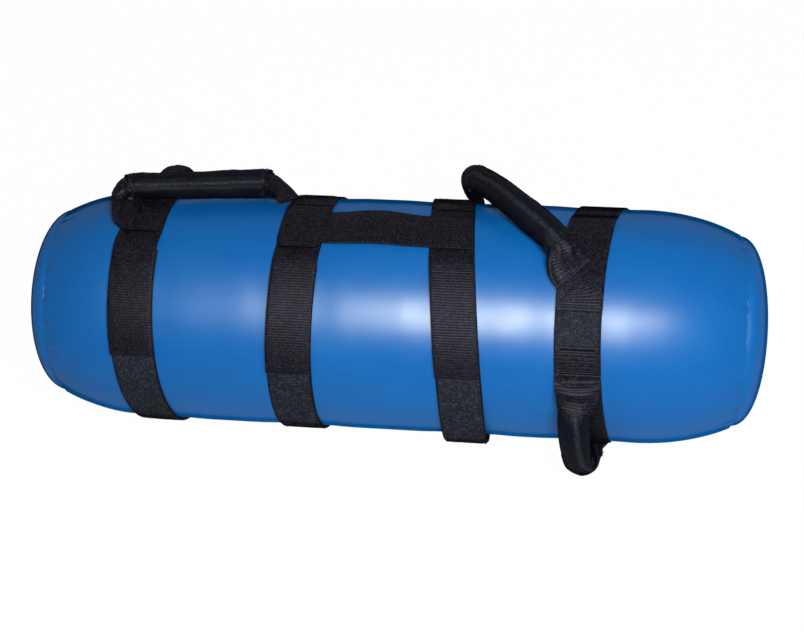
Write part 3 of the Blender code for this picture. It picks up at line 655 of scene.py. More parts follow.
def grained_finish(name, colour, worn, roughness, grain, depth, specular=0.5, dulls=False):
    """Coated fabric, plastic, rubber and foam: a little lighter and rougher where smudged or scuffed."""
    settings = {"specular": specular, "dulls": dulls, "Grain": grain, "Depth": depth}
    material, nodes, shader, effect = new_finish(name, GRAIN, **settings)
    shade = effect.outputs["Shade"]
    scuffs = effect.outputs["Scuffs"]
    share = nodes.math("MULTIPLY_ADD", scuffs, SCUFF_LIGHTENS, nodes.ranged(shade, *SMUDGE_LIGHTENS))
    nodes.feed(shader.inputs["Base Color"], nodes.mix_colour(share, colour, worn))
    rough = nodes.ranged(shade, *SMUDGE_RANGE, roughness + SMOOTHEST, roughness + ROUGHEST)
    rough = nodes.math("MULTIPLY_ADD", scuffs, SCUFF_ROUGHENS, rough)
    nodes.feed(shader.inputs["Roughness"], rough)
    return material


print("effects", [group.name for group in (RIBS, PILE, CLOTH, GRAIN)])

# %% Finishes of webbing, pile, cloth and thread
# worn is the colour of the pale band beside a sleeve's seam: partly wear from rubbing, partly painted sheen.
CLOTH_LOOK = {"worn": (0.045, 0.049, 0.064), "roughness": 0.40, "specular": 0.02}
# The webbing's dark colour shows in its grooves as painted shade, and its light colour on the crowns, where
# the painted glints are.
WEBBING_FINISH = yarn_finish(
    "woven_webbing",
    RIBS,
    dark=(0.0006, 0.0006, 0.0010),
    light=(0.038, 0.036, 0.056),
    roughness=0.42,
    specular=0.035,
    tint=(0.75, 0.75, 1.0),
)
PILE_FINISH = yarn_finish(
    "loop_pile",
    PILE,
    dark=(0.0006, 0.0008, 0.0015),
    light=(0.055, 0.066, 0.100),
    roughness=0.50,
    specular=0.07,
    tint=(0.7, 0.8, 1.0),
)
SLEEVE_FINISH = yarn_finish(
    "sleeve_cloth", CLOTH, dark=(0.001, 0.001, 0.002), light=(0.011, 0.013, 0.022), Seam=0.0036, **CLOTH_LOOK
)
THREAD_FINISH = yarn_finish(
    "sewing_thread", CLOTH, dark=(0.006, 0.006, 0.008), light=(0.045, 0.045, 0.055), Yarn=0.0004, **CLOTH_LOOK
)
FRAY_FINISH = yarn_finish(
    "cut_threads", CLOTH, dark=(0.02, 0.02, 0.025), light=(0.12, 0.12, 0.14), Yarn=0.0004, **CLOTH_LOOK
)
print("woven finishes", len(bpy.data.materials))

# %% Finishes of coated fabric, foam, plastic, rubber and water
WATER_CLEARNESS = 0.9
SKIN_FINISH = grained_finish(
    "coated_fabric",
    (0.002, 0.110, 0.38),
    (0.005, 0.140, 0.43),
    roughness=0.36,
    grain=900.0,
    depth=0.00002,
    specular=0.12,
    dulls=True,
)
FOAM_FINISH = grained_finish(
    "closed_cell_foam", (0.09, 0.09, 0.10), (0.13, 0.13, 0.14), roughness=0.85, grain=700.0, depth=0.0003
)
PLASTIC_FINISH = grained_finish(
    "moulded_black", (0.018, 0.018, 0.020), (0.04, 0.04, 0.042), roughness=0.38, grain=2500.0, depth=0.00002
)
RUBBER_FINISH = grained_finish(
    "soft_gasket", (0.028, 0.028, 0.028), (0.05, 0.05, 0.05), roughness=0.68, grain=1800.0, depth=0.00003
)
WATER_FINISH = grained_finish(
    "still_water", (0.33, 0.54, 0.60), (0.37, 0.57, 0.62), roughness=0.06, grain=30.0, depth=0.0004
)
water_shader = WATER_FINISH.node_tree.nodes["Principled BSDF"]
water_shader.inputs["Transmission Weight"].default_value = WATER_CLEARNESS
print("finishes", len(bpy.data.materials))

# %% [markdown]
# ## The skin
# The skin is one wide panel of coated fabric, rolled into a tube and welded to itself along a lap at the
# back, with a disc welded into each end. Filled with water it goes round and tight. It draws in towards
# each disc, where the panel has more cloth than the seam can take and so puckers, and it swells a little
# between straps. All of this is a small lift along the way outward, so one formula for each is plainer than
# sculpting.

# %% How the skin swells and puckers
SWELL = 0.0009
SWELL_REACH = 0.035
SWELL_END = 0.30
SWELL_FADE = 0.06
LAP_ANGLE = 207.0
LAP_HALF_WIDTH = 3.4
LAP_STEP = 0.5
LAP_HEIGHT = 0.0011
PUCKER_REACH = 0.050
PUCKER_DEPTH = 0.0011
PUCKER_FADE = 1.6
PUCKER_SHORTEST = 0.55
FINE_PUCKER_SHARE = 0.7


def swell(x, angle):
    """How far the skin stands out between the straps, which hold it in."""
    free = 1 - ease((np.abs(x) - SWELL_END) / SWELL_FADE)
    for strap in STRAPS.values():
        away = np.abs(x - strap_x(strap, angle)) - WEBBING_WIDTH / 2
        free = free * ease(away / SWELL_REACH)
    return SWELL * free


def pucker(x, angle, reach=PUCKER_REACH):
    """Small radial wrinkles that start at each end seam, each with its own length.

    They are products of waves that go round the bag a whole number of times, set over a little at each end.
    """
    side = np.sign(x)
    turn = np.radians(angle)
    length_wave = np.sin(5 * turn + side) * np.cos(3 * turn - 0.4 * side)
    own_reach = reach * (PUCKER_SHORTEST + (1 - PUCKER_SHORTEST) * length_wave)
    near = np.clip(1 - np.abs(SEAM_HALF - np.abs(x)) / own_reach, 0.0, 1.0)
    wave = np.sin(31 * turn + 1.3 * side) * np.cos(11 * turn + 0.7 * side)
    wave = wave + FINE_PUCKER_SHARE * np.sin(53 * turn + 2.1) * np.cos(7 * turn - side)
    return PUCKER_DEPTH * near**PUCKER_FADE * wave


def lap(angle):
    """The step of the panel's welded lap along the back."""
    return LAP_HEIGHT * (1 - ease((np.abs(angle - LAP_ANGLE) - LAP_HALF_WIDTH) / LAP_STEP))


print("swell between the middle straps", round(float(swell(0.0, 0.0)) * 1000, 2), "mm")

# %% Build the tube
TUBE_SIDES = 240
END_ZONE = 0.16
END_ROWS = 56
MIDDLE_ROWS = 84


def make_tube():
    """The rolled panel, outside and inside, with closer rows where it puckers."""
    ends = END_ZONE * np.linspace(0, 1, END_ROWS, endpoint=False)
    middle = np.linspace(-SEAM_HALF + END_ZONE, SEAM_HALF - END_ZONE, MIDDLE_ROWS, endpoint=False)
    xs = np.concatenate([-SEAM_HALF + ends, middle, SEAM_HALF - END_ZONE + ends, [SEAM_HALF]])
    angles = np.linspace(-90, 270, TUBE_SIDES, endpoint=False)
    x, angle = np.meshgrid(xs, angles, indexing="ij")
    lift = swell(x, angle) + pucker(x, angle) + lap(angle)
    rings = np.concatenate([on_bag(x, angle, lift), on_bag(x, angle, lift - SKIN_WALL)[::-1]])
    along = np.concatenate([x, x[::-1]])
    across = np.broadcast_to(np.radians(angle[:1]) * SKIN_RADIUS, along.shape)
    tube = ring_object("skin_tube", rings, np.stack([along, across], -1), closed_ends=True)
    return show_as(tube, "bag", "blue_skin", SKIN_FINISH, "shell_side_panel")


tube = make_tube()
print("tube", len(tube.data.polygons), "faces")

# %% Build the ends
DOME_ROWS = 44
DOME_WRINKLE_REACH = 0.030
DOME_WRINKLE_SHARE = 0.6
VALVE_HOLE_RADIUS = 0.0153
DOME_TIP_RADIUS = 0.0006
CLEAR_OF_HOLE = 1.05


def dome_profile(rim, hole):
    """Radii of the disc's rings and how far each stands out, from the skirt over the dome to the hole."""
    turns = np.linspace(0, math.pi / 2, DOME_ROWS)
    radii = rim * np.cos(turns) ** (2 / DOME_POWER)
    depths = DOME_DEPTH * np.sin(turns) ** (2 / DOME_POWER)
    keep = radii > hole * CLEAR_OF_HOLE
    depth_at_hole = DOME_DEPTH * (1 - (hole / rim) ** DOME_POWER) ** (1 / DOME_POWER)
    skirt_radius = skin_radius(SEAM_HALF - SKIRT_LENGTH) - SKIN_WALL - FIT_GAP
    radii = np.concatenate([[skirt_radius], radii[keep], [hole]])
    return radii, np.concatenate([[-SKIRT_LENGTH], depths[keep], [depth_at_hole]])


def make_end(name, side, hole, node):
    """A disc of the same fabric, pushed out into a shallow dome, its skirt welded inside the tube."""
    rim = SEAM_RADIUS - SKIN_WALL - FIT_GAP
    radii, depths = dome_profile(rim, hole)
    degrees = np.linspace(0, 360, TUBE_SIDES, endpoint=False)
    angles = np.radians(degrees)

    def rings(shrink):
        """The disc's outside, or its inside when shrunk by the thickness of the fabric."""
        made = []
        for radius, depth in zip(radii, depths):
            from_rim = SEAM_HALF + max(depth, 0) + rim - radius
            wrinkle = pucker(side * from_rim, degrees, DOME_WRINKLE_REACH) if depth > 0 else 0
            out = depth - shrink * max(depth, 0) / DOME_DEPTH + DOME_WRINKLE_SHARE * wrinkle
            x = np.broadcast_to(side * (SEAM_HALF + out), TUBE_SIDES)
            inward = max(radius - shrink * (radius / rim), hole)
            made.append(np.stack([x, -inward * np.cos(angles), AXIS_HEIGHT + inward * np.sin(angles)], -1))
        return made

    loop = np.array(rings(0.0)[::-1] + rings(SKIN_WALL))
    end = ring_object(name, loop, loop[:, :, 1:3], closed_ends=True)
    return show_as(end, "bag", "blue_skin", SKIN_FINISH, node)


make_end("skin_end_left", -1, VALVE_HOLE_RADIUS, "shell_end_left")
make_end("skin_end_right", 1, DOME_TIP_RADIUS, "shell_end_right")
print("ends stand out", round(DOME_DEPTH * 1000), "mm")

# %% Build the beads of the welds
BEAD_RADIUS = 0.0006
BEAD_SUNK = 0.0004
BEAD_SIDES = 10


def make_bead(name, side):
    """The rounded edge of the weld, a thin raised line round each end seam."""
    turns = full_turn(BEAD_SIDES)
    rings = []
    for angle in np.linspace(0, 360, TUBE_SIDES, endpoint=False):
        lift = float(pucker(side * SEAM_HALF, angle)) - BEAD_SUNK
        centre = on_bag(side * SEAM_HALF, angle, lift)
        out = np.outer(np.cos(turns), outward_at(angle)) + np.outer(np.sin(turns), [side, 0, 0])
        rings.append(centre + BEAD_RADIUS * out)
    bead = ring_object(name, rings, closed_ends=True)
    return show_as(bead, "bag", "blue_skin", SKIN_FINISH)


make_bead("weld_bead_left", -1)
make_bead("weld_bead_right", 1)
print("beads", round(2 * BEAD_RADIUS * 1000, 1), "mm thick")

# %% [markdown]
# ## The straps
# Each strap is one length of heavy webbing. It starts on the bag's upper front, goes once round the bag and
# climbs over its own start. Hook tape under its end grips the loop tape sewn on the first lap. The ribs could
# be left to the material, but they show at the webbing's edge. So they are real here: each row of points is
# half a rib, every second one raised and a hair wider, which makes the edge finely toothed.

# %% Strip maker
RIB_PITCH = 0.0029
RIB_RELIEF = 0.00028
TOOTH = 0.00018
STRIP_COLUMNS = 14
PILE_COLUMNS = 34
EDGE_ROUNDING = 0.0006
EDGE_CHAMFER = 0.15
EDGE_CORNER_HEIGHT = 0.22
PILE_RELIEF = 0.00045
PILE_BORDER = 0.0042
PILE_BORDER_START = 0.6
SHORTEST_CURL = 0.2
HALF_RIB_ANGLE = math.degrees(RIB_PITCH / 2 / SKIN_RADIUS)
CURL_SEED = 7
shuffle = np.random.default_rng(CURL_SEED)


def strip_section(width, thickness, columns=STRIP_COLUMNS):
    """Offsets across and heights round a strip's section, with rounded edges."""
    half = width / 2
    across = np.linspace(-half + EDGE_ROUNDING, half - EDGE_ROUNDING, columns)
    shy = half - EDGE_CHAMFER * EDGE_ROUNDING
    low = [(a, 0.0) for a in across]
    right = [
        (shy, EDGE_CORNER_HEIGHT * thickness),
        (half, 0.5 * thickness),
        (shy, (1 - EDGE_CORNER_HEIGHT) * thickness),
    ]
    high = [(a, thickness) for a in across[::-1]]
    left = [(-a, b) for a, b in right[::-1]]
    return np.array(low + right + high + left)


def ribbed(section, thickness, row):
    """Raises every second row into the crown of a rib."""
    crown = row % 2
    lift = crown * RIB_RELIEF * np.where(section[:, 1] > 0.5 * thickness, 1.0, 0.0)
    return np.stack([section[:, 0] * (1 + crown * 2 * TOOTH / WEBBING_WIDTH), section[:, 1] + lift], -1)


def curled(section, thickness, width):
    """Roughens the upper side into pile, inside a smooth woven border."""
    inside = (width / 2 - np.abs(section[:, 0])) / PILE_BORDER - PILE_BORDER_START
    curls = shuffle.uniform(SHORTEST_CURL, 1.0, len(section))
    pile = PILE_RELIEF * np.clip(inside, 0.0, 1.0) * curls
    return np.stack([section[:, 0], section[:, 1] + pile * (section[:, 1] > 0.5 * thickness)], -1)


def strip_on_strap(name, strap, angles, low, thickness, width, pile=False, skew=None):
    """A strip that follows a strap round the bag. low gives its under side's lift for a strap and an angle.

    width may be a function of the angle. So may skew, which turns the ribs away from straight across.
    """
    columns = PILE_COLUMNS if pile else STRIP_COLUMNS
    rings = []
    weave = []
    for row, angle in enumerate(angles):
        wide = width(angle) if callable(width) else width
        section = strip_section(wide, thickness, columns)
        shaped = curled(section, thickness, wide) if pile else ribbed(section, thickness, row)
        x = strap_x(strap, angle) + shaped[:, 0]
        rings.append(on_bag(x, angle, float(low(strap, angle)) + shaped[:, 1]))
        along = row * RIB_PITCH / 2 + (skew(angle) * section[:, 0] if skew else 0.0)
        weave.append(np.stack(np.broadcast_arrays(along, section[:, 0]), -1))
    return ring_object(name, rings, weave, smooth_angle=SMOOTH_WEBBING)


def rib_rows(first, last):
    """Angles half a rib apart."""
    count = max(3, round(abs(last - first) / HALF_RIB_ANGLE) + 1)
    return np.linspace(first, last, count)


print("half a rib", round(HALF_RIB_ANGLE, 3), "degrees")

# %% [markdown]
# ## Stitches
# A stitch is a short length of thread that comes up out of the cloth, lies on it and goes down again. A
# drawn line would do from afar, but the thread catches the light in small dashes, so each stitch is a
# little arch of its own. All the stitches on one piece are one mesh, which keeps the number of objects low.

# %% Stitch maker
STITCH_LENGTH = 0.0031
STITCH_GAP = 0.0013
STITCH_SIDES = 6
STITCH_ROWS = 6
STITCH_TIP = 0.02
THREAD_RADIUS = 0.00042
TIP_THICKNESS = 0.45
ARCH_RISE = 1.3
ARCH_SUNK = 0.8
POINTS_PER_METRE = 500
THREAD_MAP_STEPS = (0.0005, 0.0004)
TINY = 1e-12


def lengths_of(route):
    """How far along the route each of its points lies."""
    return np.concatenate([[0.0], np.cumsum(np.linalg.norm(np.diff(route, axis=0), axis=1))])


def between(place, lengths, values):
    """Values of a route at one or more places along it."""
    return np.stack([np.interp(place, lengths, values[:, i]) for i in range(3)], -1)


def stitch_points(route, out):
    """Rings of one stitch after another along a route, each arching out of the cloth and back in."""
    lengths = lengths_of(route)
    pitch = STITCH_LENGTH + STITCH_GAP
    count = max(1, int(lengths[-1] / pitch))
    start = (lengths[-1] - count * pitch + STITCH_GAP) / 2
    turns = full_turn(STITCH_SIDES)
    arch = np.sin(math.pi * np.linspace(STITCH_TIP, 1 - STITCH_TIP, STITCH_ROWS))
    stitches = []
    for k in range(count):
        places = start + k * pitch + STITCH_LENGTH * np.linspace(0, 1, STITCH_ROWS)
        centres = between(places, lengths, route)
        outs = between(places, lengths, out)
        tangent = centres[-1] - centres[0]
        tangent /= np.linalg.norm(tangent) + TINY
        rings = []
        for centre, away, height in zip(centres, outs, arch):
            around = np.outer(np.cos(turns), np.cross(tangent, away)) + np.outer(np.sin(turns), away)
            lift = THREAD_RADIUS * (ARCH_RISE * height - ARCH_SUNK)
            radius = THREAD_RADIUS * (TIP_THICKNESS + (1 - TIP_THICKNESS) * height)
            rings.append(centre + away * lift + radius * around)
        stitches.append(rings)
    return stitches


print("stitches", round(STITCH_LENGTH * 1000, 1), "mm long")

# %% Seam maker
class Seam:
    """Collects stitches on one piece, and sews them all as one mesh."""

    def __init__(self):
        self.stitches = []

    def run(self, route, out):
        self.stitches += stitch_points(np.asarray(route, float), np.asarray(out, float))

    def on_strap(self, strap, top, corners):
        """Stitches through corners given as (offset across the strap, angle). top gives the lift."""
        for (a, first), (b, last) in zip(corners, corners[1:]):
            steps = max(2, int(max(abs(last - first), abs(b - a) * POINTS_PER_METRE)) + 1)
            angles = np.linspace(first, last, steps)
            offsets = np.linspace(a, b, steps)
            places = zip(offsets, angles)
            points = [on_bag(strap_x(strap, t) + o, t, float(top(strap, t))) for o, t in places]
            self.run(points, [outward_at(t) for t in angles])

    def box(self, strap, top, half_width, first, last):
        """The usual sewn box, crossed from corner to corner."""
        corners = [(-half_width, first), (half_width, first), (half_width, last), (-half_width, last)]
        self.on_strap(strap, top, corners + corners[:1])
        self.on_strap(strap, top, [corners[0], corners[2]])
        self.on_strap(strap, top, [corners[1], corners[3]])

    def sew(self, name, body, slot, finish=THREAD_FINISH):
        """Makes the mesh."""
        points = []
        faces = []
        weave = []
        along, across = THREAD_MAP_STEPS
        for rings in self.stitches:
            first = len(points)
            points += [p for ring in rings for p in ring]
            weave += [(i * along, k * across) for i in range(len(rings)) for k in range(len(rings[0]))]
            faces += [tuple(first + k for k in face) for face in ring_faces(len(rings), len(rings[0]), False)]
        stitches = turned_outward(new_object(name, points, faces, weave, smooth_angle=SMOOTH_THREAD))
        return show_as(stitches, body, slot, finish)


print("sewn with", THREAD_FINISH.name)

# %% The webbing and tapes of a strap
TAPE_WIDTH = WEBBING_WIDTH - 2 * TAPE_INSET
TAPE_STITCH_INSET = 0.0016
TAPE_STITCH_EDGE = TAPE_WIDTH / 2 - TAPE_STITCH_INSET
TAPE_STITCHES_END = 1.0
TAPE_STITCHES_ROW = 1.2
HOOK_TAPE_INSET = 1.0
BEND_REACH = 0.007
BEND_ANGLE = math.degrees(BEND_REACH / SKIN_RADIUS)
HEM_ANGLES = (2.2, 4.6)
BACK_TACK_ANGLE = 3.0
SKEW = 0.75
SKEW_START, SKEW_RISE = 58.0, 16.0
SKEW_END, SKEW_FADE = 150.0, 30.0


def slanting_ribs(angle):
    """Strap 4's top is pulled askew by the handle, so its ribs run at a slant there."""
    angle = angle % 360
    return SKEW * float(ease((angle - SKEW_START) / SKEW_RISE) * (1 - ease((angle - SKEW_END) / SKEW_FADE)))


def whole_round_low(strap, angle):
    """Lift of the webbing's under side, at angles that count down from its start once round to its end."""
    if angle > strap.start + RAMP_GAP + RAMP_LENGTH - 360:
        return first_lap(strap, angle)
    return outer_lap_low(strap, angle + 360)


def loop_top(strap, angle):
    """Lift of the loop tape's stitches."""
    return loop_low(strap, angle) + LOOP_TAPE_THICKNESS


def free_end_top(strap, angle):
    """Lift of the stitches on the free end."""
    return free_end_low(strap, angle) + WEBBING_THICKNESS + RIB_RELIEF / 2


def make_webbing(label, strap):
    """The webbing from its start once round to where its free end bends, or to its end."""
    last = (strap.hinge + BEND_ANGLE if strap.peels else strap.end) - 360
    rows = rib_rows(strap.start, last)
    skew = None if strap.peels else slanting_ribs
    name = label + "webbing_piece"
    body = strip_on_strap(name, strap, rows, whole_round_low, WEBBING_THICKNESS, WEBBING_WIDTH, skew=skew)
    show_as(body, "bag", "black_webbing", WEBBING_FINISH, label + "webbing")


def make_tapes(label, strap, flap):
    """The loop tape on the first lap and the hook tape under the free end."""
    rows = rib_rows(strap.hinge + 0.5 * START_BEHIND_HINGE, strap.loop_end)
    name = label + "loop_piece"
    loop = strip_on_strap(name, strap, rows, loop_low, LOOP_TAPE_THICKNESS, TAPE_WIDTH, pile=True)
    show_as(loop, "bag", "black_loop", PILE_FINISH, label + "loop_tape")
    rows = rib_rows(strap.hinge - HOOK_TAPE_INSET, strap.end + HOOK_TAPE_INSET)
    hook = strip_on_strap(label + "hook_piece", strap, rows, hook_low, HOOK_TAPE_THICKNESS, TAPE_WIDTH)
    show_as(hook, flap, "black_loop", PILE_FINISH, label + "hook_tape")


def sew_loop_tape(label, strap):
    """A row of stitches along each edge of the loop tape and one across its lower end."""
    seam = Seam()
    ends = (strap.end - TAPE_STITCHES_END, strap.loop_end + TAPE_STITCHES_END)
    for side in (-TAPE_STITCH_EDGE, TAPE_STITCH_EDGE):
        seam.on_strap(strap, loop_top, [(side, ends[0]), (side, ends[1])])
    below = strap.loop_end + TAPE_STITCHES_ROW
    seam.on_strap(strap, loop_top, [(-TAPE_STITCH_EDGE, below), (TAPE_STITCH_EDGE, below)])
    seam.sew(label + "tape_stitches", "bag", "black_loop")


print("webbing is", round(WEBBING_THICKNESS * 1000, 1), "mm thick")

# %% The free end of a strap
def make_free_end(label, strap):
    """The free end that peels off, from just past the strap's hinge to its end."""
    rows = rib_rows(strap.hinge + BEND_ANGLE, strap.end)
    free = strip_on_strap(label + "free_piece", strap, rows, free_end_low, WEBBING_THICKNESS, WEBBING_WIDTH)
    show_as(free, None, "black_webbing", WEBBING_FINISH, label + "free_end")
    places = [
        tuple(on_bag(strap_x(strap, angle), angle, float(free_end_low(strap, angle))))
        for angle in (strap.hinge + BEND_ANGLE, strap.hinge - BEND_ANGLE)
    ]
    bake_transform(free)


def sew_free_end(label, strap, flap):
    """Two rows across the free end's hem, and one along each edge up to the hinge."""
    hem = Seam()
    for past in HEM_ANGLES:
        row = strap.end + past
        hem.on_strap(strap, free_end_top, [(-TAPE_STITCH_EDGE, row), (TAPE_STITCH_EDGE, row)])
    for side in (-TAPE_STITCH_EDGE, TAPE_STITCH_EDGE):
        ends = (strap.end + HEM_ANGLES[0], strap.hinge - BACK_TACK_ANGLE)
        hem.on_strap(strap, free_end_top, [(side, ends[0]), (side, ends[1])])
    hem.sew(label + "end_stitches", flap, "black_webbing")


print("free ends peel from", [strap.hinge for strap in STRAPS.values() if strap.peels], "degrees")

# %% Build the straps
for number, strap in STRAPS.items():
    label = f"strap_{number}_"
    flap = f"strap_{number}_flap" if strap.peels else "bag"
    make_webbing(label, strap)
    make_tapes(label, strap, flap)
    sew_loop_tape(label, strap)
    if strap.peels:
        make_free_end(label, strap)
    sew_free_end(label, strap, flap)
    print(label + "webbing turns through", round(strap.start - strap.end + 360), "degrees")

# %% [markdown]
# ## The cross strap
# A piece of the same webbing joins the two middle straps on top. It is sewn flat on each and bows off the
# bag between them, with its front edge lifted. Its ribs run from edge to edge, so they stand upright here.
# It goes along the bag and not round it, so its rings are counted by their share of its length.

# %% Build the cross strap
CROSS_STITCH_INSET = 0.004
CROSS_BOX_END = 0.046
CROSS_STITCH_POINTS = 24
CROSS_LENGTH = STRAPS[3].x - STRAPS[2].x + WEBBING_WIDTH


def cross_strap_place(column, angle):
    """x and lift of the cross strap's under side at a share of its length and an angle."""
    left, right = STRAPS[2], STRAPS[3]
    left_edge = strap_x(left, angle) - WEBBING_WIDTH / 2 + TAPE_INSET
    left_seam = strap_x(left, angle) + WEBBING_WIDTH / 2 + SEWN_GAP
    right_seam = strap_x(right, angle) - WEBBING_WIDTH / 2 - SEWN_GAP
    right_edge = strap_x(right, angle) + WEBBING_WIDTH / 2 - TAPE_INSET
    x = left_edge + (right_edge - left_edge) * column
    share = np.clip((x - left_seam) / (right_seam - left_seam), 0.0, 1.0)
    height = (angle - CROSS_STRAP_LOW) / (CROSS_STRAP_HIGH - CROSS_STRAP_LOW)
    base_left = sewn_low(left, angle)
    base_right = sewn_low(right, angle)
    bow = CROSS_STRAP_BOW + CROSS_STRAP_EDGE_LIFT * height
    return x, base_left + (base_right - base_left) * share + bow * np.sin(np.pi * share) ** 2


def make_cross_strap():
    """One strip of ribbed webbing along the bag, from strap 2's left edge to strap 3's right edge."""
    middle = (CROSS_STRAP_LOW + CROSS_STRAP_HIGH) / 2
    columns = 2 * round(CROSS_LENGTH / RIB_PITCH) + 1
    rings = []
    weave = []
    for row in range(columns):
        section = ribbed(strip_section(WEBBING_WIDTH, WEBBING_THICKNESS), WEBBING_THICKNESS, row)
        angles = middle + np.degrees(section[:, 0] / SKIN_RADIUS)
        x, low = cross_strap_place(row / (columns - 1), angles)
        rings.append(on_bag(x, angles, low + section[:, 1]))
        weave.append(np.stack(np.broadcast_arrays(row * RIB_PITCH / 2, section[:, 0]), -1))
    strap = ring_object("cross_strap_piece", rings, weave, smooth_angle=SMOOTH_WEBBING)
    return show_as(strap, "bag", "black_webbing", WEBBING_FINISH, "cross_strap")


def sew_cross_strap():
    """A sewn box with a cross on each of the two straps below."""
    seam = Seam()
    inset = math.degrees(CROSS_STITCH_INSET / SKIN_RADIUS)
    low, high = CROSS_STRAP_LOW + inset, CROSS_STRAP_HIGH - inset
    near, far = CROSS_STITCH_INSET / CROSS_LENGTH, CROSS_BOX_END / CROSS_LENGTH
    for first, last in ((near, far), (1 - far, 1 - near)):
        corners = [(first, low), (last, low), (last, high), (first, high), (first, low)]
        sides = list(zip(corners, corners[1:]))
        diagonals = [(corners[0], corners[2]), (corners[1], corners[3])]
        for (a, start), (b, stop) in sides + diagonals:
            points = []
            outs = []
            for t in np.linspace(0, 1, CROSS_STITCH_POINTS):
                angle = start + (stop - start) * t
                x, low_lift = cross_strap_place(a + (b - a) * t, angle)
                points.append(on_bag(x, angle, low_lift + WEBBING_THICKNESS + RIB_RELIEF / 2))
                outs.append(outward_at(angle))
            seam.run(points, outs)
    seam.sew("cross_strap_stitches", "bag", "black_webbing")


cross = make_cross_strap()
sew_cross_strap()
print("cross strap", len(cross.data.polygons), "faces")

# %% [markdown]
# ## The handles
# Each handle is a length of webbing in a foam tube, covered by a sewn cloth sleeve. Past the sleeve's mouth
# the webbing opens out like a fan until it lies flat on its strap, where it is sewn down. A curve object
# could carry the handle, but the webbing has to turn from flat on the strap to gathered in the mouth. So
# each handle follows a route of a few places, given as on the bag, and everything on it is placed by its
# distance along that route.

# %% Routes of the handles' webbing: x, angle and lift
LEFT_CARRY_ROUTE = [
    (-0.2900, 95.0, 0.0064),
    (-0.3010, 95.4, 0.0067),
    (-0.3090, 96.6, 0.0088),
    (-0.3128, 99.0, 0.0122),
    (-0.3144, 102.2, 0.0158),
    (-0.3142, 106.0, 0.0184),
    (-0.3115, 109.3, 0.0197),
    (-0.3030, 110.9, 0.0200),
    (-0.2728, 111.3, 0.0200),
    (-0.2272, 113.5, 0.0200),
    (-0.1821, 116.7, 0.0200),
    (-0.1574, 118.7, 0.0200),
    (-0.1475, 118.5, 0.0190),
    (-0.1390, 117.5, 0.0162),
    (-0.1310, 116.0, 0.0118),
    (-0.1245, 114.2, 0.0078),
    (-0.1200, 113.0, 0.0064),
]
RIGHT_CARRY_ROUTE = [
    (0.0988, 129.0, 0.0030),
    (0.0930, 131.0, 0.0062),
    (0.0872, 132.0, 0.0115),
    (0.0830, 132.0, 0.0180),
    (0.0822, 131.0, 0.0242),
    (0.0855, 129.5, 0.0290),
    (0.0925, 126.8, 0.0300),
    (0.1010, 122.3, 0.0282),
    (0.1144, 116.0, 0.0258),
    (0.1366, 104.1, 0.0240),
    (0.1499, 98.4, 0.0230),
    (0.1633, 92.9, 0.0225),
    (0.1814, 84.7, 0.0240),
    (0.1904, 80.0, 0.0225),
    (0.1938, 76.0, 0.0165),
    (0.1978, 73.0, 0.0130),
    (0.2044, 70.6, 0.0113),
]
FRONT_LOOP_ROUTE = [
    (0.2124, 27.0, 0.0044),
    (0.2124, 24.0, 0.0052),
    (0.2128, 20.5, 0.0080),
    (0.2128, 17.0, 0.0120),
    (0.2114, 13.0, 0.0175),
    (0.2108, 8.0, 0.0235),
    (0.2125, 2.0, 0.0285),
    (0.2150, -5.0, 0.0318),
    (0.2185, -13.0, 0.0328),
    (0.2235, -21.5, 0.0308),
    (0.2285, -30.5, 0.0252),
    (0.2322, -38.5, 0.0188),
    (0.2352, -45.0, 0.0130),
    (0.2374, -50.0, 0.0086),
    (0.2387, -53.0, 0.0056),
    (0.2394, -56.0, 0.0044),
]
# The rear loop along its strap: degrees past its upper seam, lift, and how far it leans to the left
REAR_LOOP_PROFILE = [
    (0.0, 0.0044, 0.0000),
    (3.0, 0.0056, 0.0005),
    (6.5, 0.0112, 0.0020),
    (10.5, 0.0195, 0.0035),
    (16.0, 0.0270, 0.0050),
    (23.0, 0.0330, 0.0055),
    (31.0, 0.0362, 0.0050),
    (39.5, 0.0360, 0.0040),
    (47.5, 0.0322, 0.0030),
    (54.5, 0.0245, 0.0020),
    (60.0, 0.0155, 0.0010),
    (64.0, 0.0086, 0.0005),
    (67.0, 0.0052, 0.0000),
    (70.0, 0.0044, 0.0000),
]
REAR_LOOP_START = 136.0
ROUTE_SAMPLES = 40


print("places on the routes", len(LEFT_CARRY_ROUTE), len(RIGHT_CARRY_ROUTE), len(FRONT_LOOP_ROUTE))

# %% From places to a smooth route
def rear_loop_route():
    """The rear loop's route, worked out from its profile along the strap that it hangs on."""
    route = []
    for past, lift, lean in REAR_LOOP_PROFILE:
        angle = REAR_LOOP_START + past
        route.append((float(strap_x(STRAPS[1], angle)) - lean, angle, lift))
    return route


def smooth_route(controls):
    """Points on a smooth curve through the control points."""
    points = [controls[0] * 2 - controls[1]] + controls + [controls[-1] * 2 - controls[-2]]
    route = []
    for i in range(1, len(points) - 2):
        a, b, c, d = points[i - 1 : i + 3]
        for t in np.arange(ROUTE_SAMPLES) / ROUTE_SAMPLES:
            curve = (2 * a - 5 * b + 4 * c - d) * t**2 + (3 * b - a - 3 * c + d) * t**3
            route.append((2 * b + (c - a) * t + curve) / 2)
    route.append(controls[-1])
    return np.array(route)


